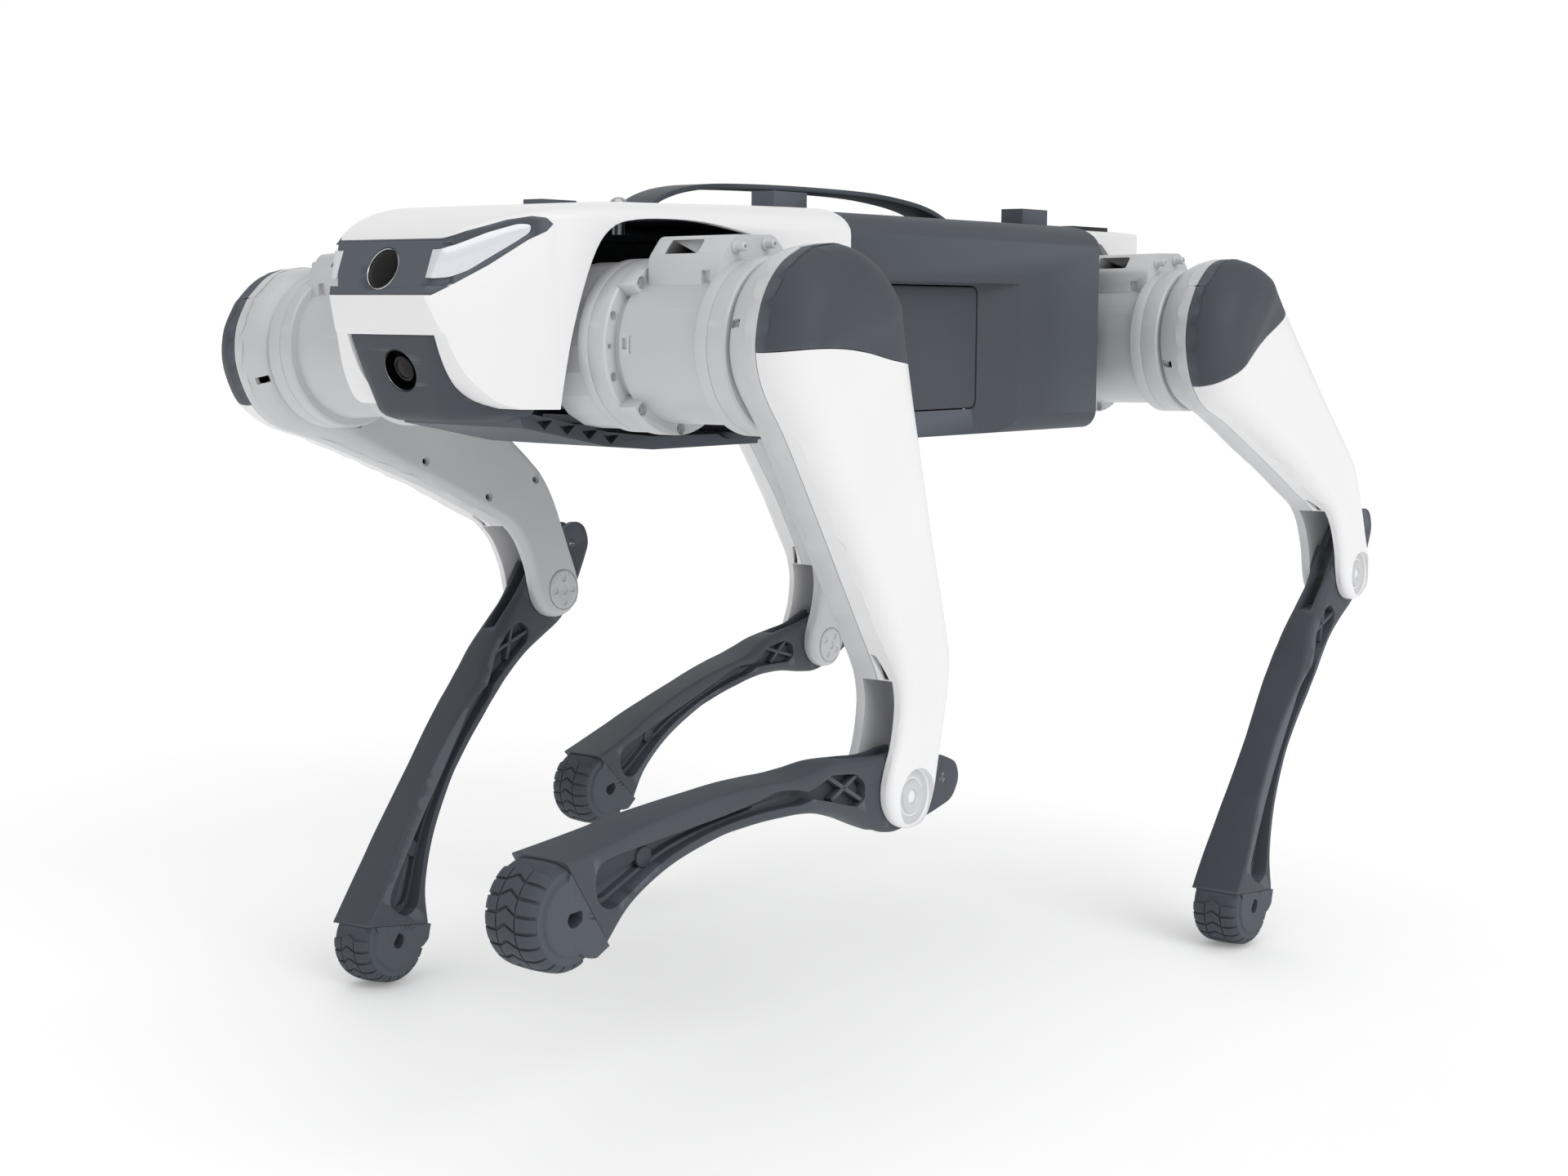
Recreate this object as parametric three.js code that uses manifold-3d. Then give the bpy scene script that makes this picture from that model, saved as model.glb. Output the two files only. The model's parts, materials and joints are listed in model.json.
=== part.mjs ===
// Quadruped robot dog in a trotting stance: two stance legs on the floor, two swing legs raised.
// Millimetres, +Z up. The head points along -Y and the robot's left side is +X.
// The model is laid out around the middle of the four hips, then moved so that its
// origin is on the floor under the middle of its box.
import * as THREE from 'three';
import { mergeVertices } from 'three/addons/utils/BufferGeometryUtils.js';
import Module from 'manifold-3d';

const wasm = await Module();
wasm.setup();

// ---------------------------------------------------------------- driving dimensions
const GAP = 0.3;             // clearance between touching pieces
const HIP_X = 60;            // roll axis of each hip, from the middle plane
const HIP_Y = 172.7;         // hip pitch axis, fore and aft of the middle
const LEG_PLANE = 96.6;      // roll axis to the middle plane of the leg
const THIGH = 200;           // hip axis to knee axis
const SHANK = 210;           // knee axis to foot centre
const LEVER = 30;            // knee axis to push-rod pin, and crank radius at the hip
const FOOT_R = 21.5;
const FOOT_HALF = 14;        // half width of the foot
const KNEE_HALF = 14.5;      // half width of the thigh's fork at the knee
const SLOT_HALF = 7.6;       // half width of the fork's gap
const ROD_HALF = 2.9;        // half thickness of the push rod
const AXLE_R = 5;            // knee axle
const PIN_R = 2.6;           // both pins of the push rod
const RING_R = 37.2;         // rings at both ends of the hip pitch motor
const MOTOR_R = 33;
const ROLL_MOTOR_R = 31;
const BODY_HALF = 110;       // half width of the torso at its middle
const ROOF = 61.5;           // roof height above the hips
const SADDLE = [-84, 130];   // fore and aft ends of the dark middle cover
const WALL = 2.8;            // thickness of the moulded shells
const OPEN_END = 12;         // an open end's inner body runs past it by this many walls
const FAR = 80;              // reach of a cutting tool beyond the torso's sides
const NOSE = -267;           // foremost point of the face
const TAIL = 240;            // rearmost point of the tail
const STRAP_HALF = 10;       // half width of the carry strap

// Hip roll (foot outwards), hip pitch (knee rearwards) and knee flex of each leg, in degrees.
const LEGS = {
  fl: { side: 1, end: -1, roll: 0.6, pitch: 16.0, knee: 102.5 },
  fr: { side: -1, end: -1, roll: -4.0, pitch: 49.6, knee: 87.1 },
  rl: { side: 1, end: 1, roll: 1.1, pitch: 47.9, knee: 83.7 },
  rr: { side: -1, end: 1, roll: -0.4, pitch: 16.6, knee: 89.3 },
};

// ---------------------------------------------------------------- materials
const plastic = (color, roughness) =>
  new THREE.MeshStandardMaterial({ color, roughness, metalness: 0 });
const WHITE = plastic(0xf2f2f2, 0.4);
const SLATE = plastic(0x505660, 0.55);
const GREY = plastic(0xcfd0d2, 0.5);
const BLACK = plastic(0x101112, 0.2);
const RUBBER = plastic(0x454a52, 0.8);
const LIGHT = plastic(0xe6e7e8, 0.3);
const STEEL = new THREE.MeshStandardMaterial({ color: 0xb9bcc0, roughness: 0.3, metalness: 0.9 });
const ALLOY = new THREE.MeshStandardMaterial({ color: 0x8d9196, roughness: 0.45, metalness: 0.7 });

// ---------------------------------------------------------------- shape helpers
const root = new THREE.Group();

function mesh(parent, name, geometry, material) {
  const part = new THREE.Mesh(geometry, material);
  part.name = name;
  parent.add(part);
  return part;
}

function outline(points) {
  return new THREE.Shape(points.map(([a, b]) => new THREE.Vector2(a, b)));
}

function disc(a, b, r, segments = 24) {
  const ring = [];
  for (let i = 0; i < segments; i += 1) {
    const t = (2 * Math.PI * i) / segments;
    ring.push([a + r * Math.cos(t), b + r * Math.sin(t)]);
  }
  return ring;
}

// A slab: its outline lies across the named axis, and it runs from lo to hi along it.
const BASES = {
  x: [[0, 1, 0], [0, 0, 1], [1, 0, 0]], // outline in (y, z)
  y: [[0, 0, 1], [1, 0, 0], [0, 1, 0]], // outline in (z, x)
  z: [[1, 0, 0], [0, 1, 0], [0, 0, 1]], // outline in (x, y)
};
function slab(axis, points, lo, hi) {
  const geometry = new THREE.ExtrudeGeometry(outline(points), { depth: hi - lo, bevelEnabled: false });
  geometry.translate(0, 0, lo);
  const [a, b, c] = BASES[axis].map((v) => new THREE.Vector3(...v));
  return geometry.applyMatrix4(new THREE.Matrix4().makeBasis(a, b, c));
}
const across = (points) => points.map(([x, z]) => [z, x]);
const rod = (axis, a, b, r, lo, hi, segments = 20) => slab(axis, disc(a, b, r, segments), lo, hi);
function box(x0, x1, y0, y1, z0, z1) {
  return slab('z', [[x0, y0], [x1, y0], [x1, y1], [x0, y1]], z0, z1);
}

// Round body about the X axis from [x, radius] pairs.
function turnedX(profile, segments = 24) {
  const points = profile.map(([x, r]) => new THREE.Vector2(r, x));
  const geometry = new THREE.LatheGeometry(points, segments);
  return geometry.rotateZ(-Math.PI / 2);
}

// Closed body through rings of points that all have the same count; flat(v) gives an end cap's 2D view.
function loft(rings, flat) {
  const n = rings[0].length;
  const positions = rings.flat().flatMap((v) => v);
  const index = [];
  for (let k = 0; k + 1 < rings.length; k += 1) {
    for (let i = 0; i < n; i += 1) {
      const j = (i + 1) % n;
      const [a, b, c, d] = [k * n + i, k * n + j, (k + 1) * n + j, (k + 1) * n + i];
      index.push(a, b, c, a, c, d);
    }
  }
  const area = (a, b, c) => Math.sign((b.x - a.x) * (c.y - a.y) - (b.y - a.y) * (c.x - a.x));
  const cap = (ring) => {
    const contour = ring.map((v) => new THREE.Vector2(...flat(v)));
    const way = Math.sign(THREE.ShapeUtils.area(contour));
    return THREE.ShapeUtils.triangulateShape(contour.slice(), [])
      .map(([a, b, c]) => (area(contour[a], contour[b], contour[c]) === way ? [a, b, c] : [a, c, b]));
  };
  const last = (rings.length - 1) * n;
  for (const [a, b, c] of cap(rings[0])) index.push(a, c, b);
  for (const [a, b, c] of cap(rings[rings.length - 1])) index.push(last + a, last + b, last + c);
  const geometry = new THREE.BufferGeometry();
  geometry.setAttribute('position', new THREE.Float32BufferAttribute(positions, 3));
  geometry.setIndex(index);
  return signedVolume(geometry) < 0 ? turnedOut(geometry) : geometry;
}

function signedVolume(geometry) {
  const p = geometry.getAttribute('position');
  const [a, b, c] = [new THREE.Vector3(), new THREE.Vector3(), new THREE.Vector3()];
  let total = 0;
  for (let i = 0; i < geometry.index.count; i += 3) {
    a.fromBufferAttribute(p, geometry.index.getX(i));
    b.fromBufferAttribute(p, geometry.index.getX(i + 1));
    c.fromBufferAttribute(p, geometry.index.getX(i + 2));
    total += a.dot(b.cross(c)) / 6;
  }
  return total;
}

function turnedOut(geometry) {
  const order = Array.from(geometry.index.array);
  for (let i = 0; i < order.length; i += 3) [order[i + 1], order[i + 2]] = [order[i + 2], order[i + 1]];
  geometry.setIndex(order);
  return geometry;
}

function mirrored(geometry) {
  const copy = geometry.index ? geometry.clone() : mergeVertices(geometry.clone());
  copy.scale(-1, 1, 1);
  return turnedOut(copy);
}

// ---------------------------------------------------------------- booleans
function solid(geometry) {
  const bare = geometry.clone();
  bare.deleteAttribute('normal');
  bare.deleteAttribute('uv');
  const merged = mergeVertices(bare, 1e-4);
  return new wasm.Manifold(new wasm.Mesh({
    numProp: 3,
    vertProperties: Float32Array.from(merged.getAttribute('position').array),
    triVerts: Uint32Array.from(merged.index.array),
  }));
}
function shape(body) {
  const result = body.getMesh();
  const geometry = new THREE.BufferGeometry();
  geometry.setAttribute('position', new THREE.BufferAttribute(result.vertProperties, 3));
  geometry.setIndex(new THREE.BufferAttribute(result.triVerts, 1));
  return geometry;
}
const join = (...pieces) => pieces.map(solid).reduce((a, b) => a.add(b));
const cut = (body, ...tools) => tools.map(solid).reduce((a, b) => a.subtract(b), body);
const mirrorPair = (points) => [...points, ...points.map(([x, y]) => [-x, y]).reverse()];

// ---------------------------------------------------------------- torso shells
// Plan (x, y) of the head's left half, from the nose back, and its side view (y, z).
const HEAD_PLAN = [[29, NOSE], [43, -243.5], [56, -221], [63, -208], [70, -188], [77, -168], [88, -148],
  [100, -128], [107, -110], [BODY_HALF, -95], [BODY_HALF, SADDLE[0] - GAP]];
const BROW = [-258.5, 43.6];     // front edge of the roof
const CHIN_LINE = [[-261, 6.3], [-259.2, 4.4], [-256.4, -3], [-252.3, -11], [-247, -17.6], [-240, -23.4],
  [-232, -26.3]];                // edge between white cheek and chin guard
const CHEEK_Z = -26.5;
const HEAD_REAR = SADDLE[0] - GAP;
const HEAD_TOP = [BROW, [-250, 48.5], [-235, 54], [-215, 58.5], [-190, 61], [-150, ROOF],
  [HEAD_REAR, ROOF]];

// Body cut from its plan, side and front views, each drawn in by the inset.
function threeView(plan, side, section, inset) {
  const xs = Math.max(...plan.map(([x]) => x));
  const body = solid(slab('z', mirrorPair(plan.map(([x, y]) => [x - inset, y])), -FAR, FAR));
  const sideBody = solid(slab('x', side, -xs - 1, xs + 1));
  const front = solid(slab('y', across(section), -300, 300));
  return body.intersect(sideBody).intersect(front);
}
function roofSection(half, top, inset, bottom) {
  const edge = [[half - 22, top], [half - 11, top - 1.5], [half - 4, top - 5], [half, top - 12],
    [half, bottom]];
  return mirrorPair(edge.map(([x, z]) => [x - (x >= half ? inset : inset * 0.6), z - inset]));
}

const headSide = (inset) => [
  [NOSE + inset, 20.7],
  ...CHIN_LINE.map(([y, z]) => [y + inset, z]),
  [-206 + inset, CHEEK_Z - inset * OPEN_END],
  [HEAD_REAR + inset * OPEN_END, -44 - inset * OPEN_END],
  ...HEAD_TOP.map(([y, z]) => [y + (y === HEAD_REAR ? OPEN_END : 1) * inset, z - inset]).reverse(),
];
function headBody(inset) {
  const shift = { [NOSE]: inset, [HEAD_REAR]: inset * OPEN_END };
  const plan = HEAD_PLAN.map(([x, y]) => [x, y + (shift[y] ?? 0)]);
  return threeView(plan, headSide(inset), roofSection(BODY_HALF, ROOF, inset, -60), inset);
}

// Wheel-arch outlines (y, z) that the hips stand in.
const FRONT_ARCH = [[-219, -70], [-217, -26], [-211.8, 8.2], [-204, 36], [-196, 49], [-184, 53.4],
  [-160, 53.8], [-142, 50], [-128, 44.5], [-121, 36], [-119, 20], [-119, -70]];
const REAR_ARCH = [[120, -70], [120, 45], [128, 52], [150, 54], [180, 54], [188, 52.7], [198, 46.3],
  [206, 36.1], [213, 20], [217, -10], [219, -70]];
const archTool = (points, side) => slab('x', points, side > 0 ? 40 : -120, side > 0 ? 120 : -40);

// Dark band around the face: one plate in front and a wing along each cheek.
const VISOR = [[NOSE - 3, 20.9], [-264, 20.9], [-257.8, 24.4], [-243.5, 33.4], [-229, 43.8], [-222, 47.5],
  [-219.5, 50.5], [-222, 53], [-227, 53.6], [-236.3, 51.8], [-250.5, 47], [-259, 43.4], [NOSE - 3, 43.4]];
const WINDOW = [[-265, 27.5], [-257.7, 28], [-250.7, 30.9], [-243.5, 35.9], [-229, 46.5], [-227, 49],
  [-229, 50.8], [-232, 50.6], [-243.4, 46.6], [-256, 41], [-263, 39.5]];
const WINDOW_X = 27.5;           // the light windows start beside the camera plate
const shrink = (points, d) => {
  const cy = points.reduce((s, p) => s + p[0], 0) / points.length;
  const cz = points.reduce((s, p) => s + p[1], 0) / points.length;
  return points.map(([y, z]) => {
    const r = Math.hypot(y - cy, z - cz);
    return [y - ((y - cy) * d) / r, z - ((z - cz) * d) / r];
  });
};

// Cameras sit square to the leaning face and chin.
const CAMERAS = {
  upper_camera: { y: -262, z: 31.5, r: 9, tilt: 21.6 },
  lower_camera: { y: -253, z: -10.5, r: 9.3, tilt: -20.4 },
};
function cameraBarrel({ y, z, r, tilt }, extra, ahead, depth) {
  const geometry = rod('y', 0, 0, r + extra, -ahead, depth, 20);
  return geometry.rotateX(-THREE.MathUtils.degToRad(tilt)).translate(0, y, z);
}

const headLayer = headBody(0).subtract(headBody(WALL));
const visorCut = slab('x', shrink(VISOR, -GAP), -FAR, FAR);
const BUTTON = { y: -118, r: 4.5 };
const PAD_Y = [[-101, -77], [104, 128]];   // payload pads fore and aft
const PAD_X = [66, 79];
const PAD_TOP = 69;
const RAIL_Z = [50, 55];
const padTools = (grow) => [[PAD_X[0], PAD_X[1]], [-PAD_X[1], -PAD_X[0]]].flatMap(([x0, x1]) =>
  PAD_Y.map(([y0, y1]) => box(x0 - grow, x1 + grow, y0 - grow, y1 + grow, RAIL_Z[1], FAR)));

const visorBand = headLayer.intersect(solid(slab('x', VISOR, -FAR, FAR)));
const visor = cut(visorBand, cameraBarrel(CAMERAS.upper_camera, GAP, 20, 30),
  slab('x', WINDOW, WINDOW_X, FAR), slab('x', WINDOW, -FAR, -WINDOW_X));
mesh(root, 'face_visor', shape(visor), SLATE);
const paneEdge = shrink(WINDOW, GAP);
const paneInner = WINDOW_X + GAP;
const panes = { light_left: [paneInner, FAR], light_right: [-FAR, -paneInner] };
for (const [name, reach] of Object.entries(panes)) {
  mesh(root, name, shape(headLayer.intersect(solid(slab('x', paneEdge, ...reach)))), LIGHT);
}

// Chin guard: a tray under the face that carries the lower camera. Its front plate fills the face
// between the cheeks, and its flanks stay under the cheeks' curved edge.
const CHIN_OUTER = [[-259, 4.1], [-253, -13], [-247.5, -30.8], [-240, -32.4], [-231, -32.2],
  [-225, -29.5], [-222, -26.8], [-222, 4.1]];
const CHIN_PLATE_X = 24;
const CHIN_TOP = 4.1;
const AHEAD = NOSE - 23;         // clear of the nose
const underCheek = slab('x', [[AHEAD, CHIN_TOP], [-259.6, CHIN_TOP],
  ...CHIN_LINE.slice(2).map(([y, z]) => [y - GAP, z - GAP]),
  [-200, CHEEK_Z - GAP], [-200, -60], [AHEAD, -60]], -FAR, FAR);
const chinPlate = (grow) => slab('x', [[AHEAD, CHIN_TOP + grow], [-249 + grow, CHIN_TOP + grow],
  [-236 + grow, -26], [-236, -60], [AHEAD, -60]], -CHIN_PLATE_X - grow, CHIN_PLATE_X + grow);
const chinPlan = [[26.5, NOSE], [27.5, -256], [42, -236], [54, -216]];
const chinSection = mirrorPair([[62, 20], [60, -16], [44, -29], [30, -33]]);
const chinBody = threeView(chinPlan, CHIN_OUTER, chinSection, 0).intersect(join(underCheek, chinPlate(0)));
const chinHollow = slab('x', [[-250, 10], [-249, -5], [-243.5, -27], [-232, -28.6], [-200, -28.6],
  [-200, 10]], -22, 22);
const buttonHole = rod('z', 0, BUTTON.y, BUTTON.r + GAP, 50, 70);
const head = cut(headLayer, visorCut, archTool(FRONT_ARCH, 1), archTool(FRONT_ARCH, -1),
  chinPlate(GAP), buttonHole, ...padTools(GAP));
const chin = cut(chinBody, chinHollow, cameraBarrel(CAMERAS.lower_camera, GAP, 20, 30));
mesh(root, 'head_shell', shape(head), WHITE);
mesh(root, 'chin_guard', shape(chin), SLATE);

for (const [name, camera] of Object.entries(CAMERAS)) {
  const dish = cameraBarrel(camera, -2, 2, 1);     // lens face set back behind a thin rim
  mesh(root, name, shape(cut(solid(cameraBarrel(camera, 0, 0.5, 13)), dish)), BLACK);
}

// Tail: a plain hood with its own arches.
const TAIL_FRONT = SADDLE[1] + GAP;
const TAIL_PLAN = [[84, TAIL_FRONT], [77, 180], [75, 215], [72, 234], [66, TAIL]];
const TAIL_ROOF = ROOF - 0.5;
const tailSide = (inset) => [
  [TAIL_FRONT - inset * OPEN_END, TAIL_ROOF - inset], [218, TAIL_ROOF - inset],
  [232 - inset, ROOF - 2 - inset], [238 - inset, 55 - inset], [TAIL - inset, 47], [239 - inset, 38],
  [234 - inset, 5], [227 - inset, -20], [222 - inset, CHEEK_Z - inset * OPEN_END],
  [TAIL_FRONT - inset * OPEN_END, CHEEK_Z - inset * OPEN_END],
];
function tailBody(inset) {
  const shift = { [TAIL]: -inset, [TAIL_FRONT]: -inset * OPEN_END };
  const plan = TAIL_PLAN.map(([x, y]) => [x, y + (shift[y] ?? 0)]);
  return threeView(plan, tailSide(inset), roofSection(TAIL_PLAN[0][0], TAIL_ROOF, inset, -60), inset);
}
const tail = cut(tailBody(0).subtract(tailBody(WALL)), archTool(REAR_ARCH, 1), archTool(REAR_ARCH, -1));
mesh(root, 'tail_shell', shape(tail), WHITE);

// Dark saddle over the middle, with a recess in each side and the battery's window on the left.
const SADDLE_BOTTOM = -44;
const SADDLE_TOP = 60.5;
const RECESS_X = 101;
const RECESS_TOP = 29.5;
const BATTERY_Y = [-64, 31];
const BATTERY_Z = [-31.5, 28.2];
function saddleSection(half, top, bottom, corner) {
  return mirrorPair([[half - 2 * corner, top], [half - corner, top - 1.2], [half - 3, top - 5],
    [half, top - 12], [half, bottom + corner], [half - 2, bottom + 3], [half - corner, bottom]]);
}
// The recess ends in a concave ramp that meets the outer face towards the tail.
const recess = (s) => slab('z', [[s * 120, SADDLE[0] - 5], [s * RECESS_X, SADDLE[0] - 5],
  [s * RECESS_X, 32], [s * 102, 38], [s * 104.5, 45], [s * (BODY_HALF + 0.6), 55], [s * 120, 55]],
  -60, RECESS_TOP);
function roundedWindow([a0, a1], [b0, b1], r) {
  const ring = [];
  const corners = [[a1 - r, b1 - r, 0], [a0 + r, b1 - r, 1], [a0 + r, b0 + r, 2], [a1 - r, b0 + r, 3]];
  for (const [a, b, quarter] of corners) {
    for (let i = 0; i <= 3; i += 1) {
      const t = (Math.PI / 2) * (quarter + i / 3);
      ring.push([a + r * Math.cos(t), b + r * Math.sin(t)]);
    }
  }
  return ring;
}
const BATTERY_CORNER = 5;
const BATTERY_X = [-50, RECESS_X];
const saddleOuter = slab('y', across(saddleSection(BODY_HALF, SADDLE_TOP, SADDLE_BOTTOM, 9)), ...SADDLE);
const saddleInner = slab('y',
  across(saddleSection(RECESS_X - WALL, SADDLE_TOP - WALL, SADDLE_BOTTOM + WALL, 6)),
  SADDLE[0] - 1, SADDLE[1] + 1);
const batteryWindow = slab('x', roundedWindow(BATTERY_Y, BATTERY_Z, BATTERY_CORNER), 60, 120);
const saddle = cut(solid(saddleOuter), saddleInner, recess(1), recess(-1), batteryWindow, ...padTools(GAP));
mesh(root, 'mid_cover', shape(saddle), SLATE);
const within = ([lo, hi]) => [lo + GAP, hi - GAP];
const batteryEnd = roundedWindow(within(BATTERY_Y), within(BATTERY_Z), BATTERY_CORNER - GAP);
mesh(root, 'battery_pack', slab('x', batteryEnd, ...BATTERY_X), SLATE);

// ---------------------------------------------------------------- frame and roof fittings
// Floor tray under the battery, a bulkhead behind each pair of roll motors, and a keel fore and aft.
const KEEL_HALF = 20;
const KEEL_END = 205;
const BULKHEAD_Y = 80;
const BULKHEAD_T = 5;
const KEEL_Z = [-26, 4];
const KEEL_T = [3, 4];            // thickness of the keel's flanges and of its floor
const TRAY_LOW = SADDLE_BOTTOM + WALL + GAP;
const TRAY_T = 4;
function channel(lo, hi) {
  const inner = KEEL_HALF - KEEL_T[0];
  const floor = KEEL_Z[0] + KEEL_T[1];
  const half = [[KEEL_HALF, KEEL_Z[0]], [KEEL_HALF, KEEL_Z[1]], [inner, KEEL_Z[1]], [inner, floor]];
  return slab('y', across(mirrorPair(half)), lo, hi);
}
const bulkheads = [-BULKHEAD_Y, BULKHEAD_Y - BULKHEAD_T].flatMap((lo) => [
  box(-92, 92, lo, lo + BULKHEAD_T, -34, 34),
  box(-60, 60, lo, lo + BULKHEAD_T, TRAY_LOW, 0),
]);
const tray = box(-88, 88, 1 - BULKHEAD_Y, BULKHEAD_Y - 1, TRAY_LOW, TRAY_LOW + TRAY_T);
const keels = [channel(-KEEL_END, 1 - BULKHEAD_Y), channel(BULKHEAD_Y - 1, KEEL_END)];
const frame = join(tray, ...bulkheads, ...keels);
mesh(root, 'chassis', shape(frame), ALLOY);

const ROLL_FACE = 130;           // output face of the roll motors, fore and aft of the middle
const ROLL_LENGTH = ROLL_FACE - BULKHEAD_Y - GAP;
const rollProfile = [[0, 0], [0, 12], [2, 12], [2, ROLL_MOTOR_R - 3], [5, ROLL_MOTOR_R],
  [ROLL_LENGTH, ROLL_MOTOR_R], [ROLL_LENGTH, 0]];
for (const [name, leg] of Object.entries(LEGS)) {
  const motor = turnedX(rollProfile, 16).rotateZ(-leg.end * Math.PI / 2);
  motor.translate(leg.side * HIP_X, leg.end * ROLL_FACE, 0);
  mesh(root, `roll_motor_${name}`, motor, GREY);
}

// Belly guard: a thin skid plate with triangular pockets along both edges.
const GUARD_HALF = 37;
const GUARD_BOTTOM = -47.5;
const guardSide = [[-221.5, -27.5], [-218, -35], [-165, -45], [-135, GUARD_BOTTOM], [-60, GUARD_BOTTOM],
  [-60, -44.4], [-84, -44.4], [-90, -42], [-135, -41.5], [-165, -38.5], [-216, -28.5]];
const POCKET_DEPTH = 4;
function pocketPair(y, z) {
  const triangle = [[y - 5, z + 2.2], [y + 5, z + 2.2], [y, z - 1.8]];
  return [slab('x', triangle, GUARD_HALF - POCKET_DEPTH, GUARD_HALF + 1),
    slab('x', triangle, -GUARD_HALF - 1, POCKET_DEPTH - GUARD_HALF)];
}
const pockets = [0, 1, 2, 3].flatMap((i) => pocketPair(-205 + 14 * i, -34.4 - 2.6 * i));
const guard = cut(solid(slab('x', guardSide, -GUARD_HALF, GUARD_HALF)), ...pockets);
mesh(root, 'belly_guard', shape(guard), SLATE);

// Carry strap: a low arch from the head's roof to the saddle.
const STRAP_T = 2.5;
const strapTop = [[-112, 0], [-106, 3.5], [-96, 8], [-80, 12], [-55, 14.5], [0, 15.8], [60, 15.4], [95, 13],
  [118, 9.5], [134, 4.5], [142, 0]];
const STRAP_SEAT = ROOF + GAP;
const strapOver = strapTop.map(([y, z]) => [y, STRAP_SEAT + z]);
const strapUnder = strapTop.slice(1, -1).map(([y, z]) => [y, STRAP_SEAT + Math.max(z - STRAP_T, 0)]);
const strapEdge = [...strapOver, ...strapUnder.reverse()];
mesh(root, 'carry_strap', slab('x', strapEdge, -STRAP_HALF, STRAP_HALF), SLATE);

// Domed push button ahead of the strap; its stem ends above the keel.
const STEM_R = 3;
const domeProfile = [[50, 0], [50, STEM_R], [ROOF - 3, STEM_R], [ROOF - 3, BUTTON.r],
  [ROOF + 2.6, BUTTON.r], [ROOF + 4.6, BUTTON.r * 0.8], [ROOF + 5.8, BUTTON.r * 0.4], [ROOF + 6.2, 0]];
const dome = new THREE.LatheGeometry(domeProfile.map(([z, r]) => new THREE.Vector2(r, z)), 12);
mesh(root, 'power_button', dome.rotateX(Math.PI / 2).translate(0, BUTTON.y, 0), STEEL);

// Payload rails: a bar under the roof on each side whose pads stand through it.
const rails = { payload_rail_left: PAD_X, payload_rail_right: [-PAD_X[1], -PAD_X[0]] };
for (const [name, [x0, x1]] of Object.entries(rails)) {
  const bar = box(x0, x1, PAD_Y[0][0] - 4, PAD_Y[1][1] + 1.5, ...RAIL_Z);
  const pads = PAD_Y.map(([y0, y1]) => box(x0, x1, y0, y1, RAIL_Z[1] - 1, PAD_TOP));
  mesh(root, name, shape(join(bar, ...pads)), SLATE);
}

// ---------------------------------------------------------------- legs
// A leg is drawn for the left side around its hip: +x outwards, -y forwards, -z down the limb.
const ARM = 40 - HIP_X;                  // inner face of the hip carrier
const STACK = { ringIn: [0.6, 16.5], flange: [16.5, 25.3], can: [25.3, 65.6], ringOut: [65.6, 81.8] };
const FLANGE_R = 38;
const CARRIER_R = 36;
const CARRIER_FACE = [39.2, 42.4];       // plate on the roll motor, from the pitch axis
const NECK_HALF = 24;

// Bracket that the roll motor turns; it holds the inner end of the pitch motor.
function hipCarrier(end) {
  const [near, far] = CARRIER_FACE;
  const body = slab('x', disc(0, 0, CARRIER_R, 20), ARM, GAP);
  const neck = slab('x', [[0, -NECK_HALF], [-end * near, -NECK_HALF], [-end * near, NECK_HALF],
    [0, NECK_HALF]], ARM, GAP);
  const face = end > 0 ? rod('y', 0, 0, 28, -far, -near) : rod('y', 0, 0, 28, near, far);
  return shape(join(body, neck, face));
}

// Pitch motor: a ring and bolt flange, the can, an outer ring, and the connector cover on top.
function hipMotor() {
  const { ringIn, flange, can, ringOut } = STACK;
  const chamfer = 1.5;
  const body = turnedX([[ringIn[0], 0], [ringIn[0], RING_R - chamfer], [ringIn[0] + chamfer, RING_R],
    [ringIn[1], RING_R], [flange[0], FLANGE_R], [flange[1], FLANGE_R], [flange[1], MOTOR_R],
    [can[1], MOTOR_R], [can[1], RING_R], [ringOut[1] - chamfer, RING_R],
    [ringOut[1], RING_R - chamfer], [ringOut[1], 0]]);
  const roof = [[-21, 26], [-21, 39], [-13, 46.5], [13, 46.5], [21, 39], [21, 26]];
  return shape(join(body, slab('x', roof, flange[1] + 1, can[1] + 4)));
}

// Cross-sections of the thigh from head to knee: [distance down, front edge, rear edge].
const THIGH_STATIONS = [[-41.5, 6, -7], [-36.5, 20, -21], [-36, 20.5, -21.5], [-26, 32, -33],
  [-8, 40.5, -41.5], [6, 39.5, -43.5], [30, 30.5, -44], [100, 7.5, -44], [135, -2, -44],
  [151, -5, -43.5], [160, -4, -41.5], [182, 8, -31], [191, 14.5, -24.5], [200, 16, -18],
  [210, 11.5, -11], [215.8, 2.5, -3]];
const HEAD_SEAM = 4.5;            // seam between the half shells, outwards of the leg plane
const KNEE_SEAM = 0;
const HEAD_DEPTH = 28;            // outer shell's reach beyond the leg plane at the head
const HEAD_CLOSED = -36.2;        // above this the head is solid up to the seam
const WALL_END = 150;             // the edges of the shells stop here and leave a fork
const CHEEK = SLOT_HALF + GAP;    // inner face of each fork cheek
const mix = (a, b, t) => a + (b - a) * Math.min(1, Math.max(0, t));

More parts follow.
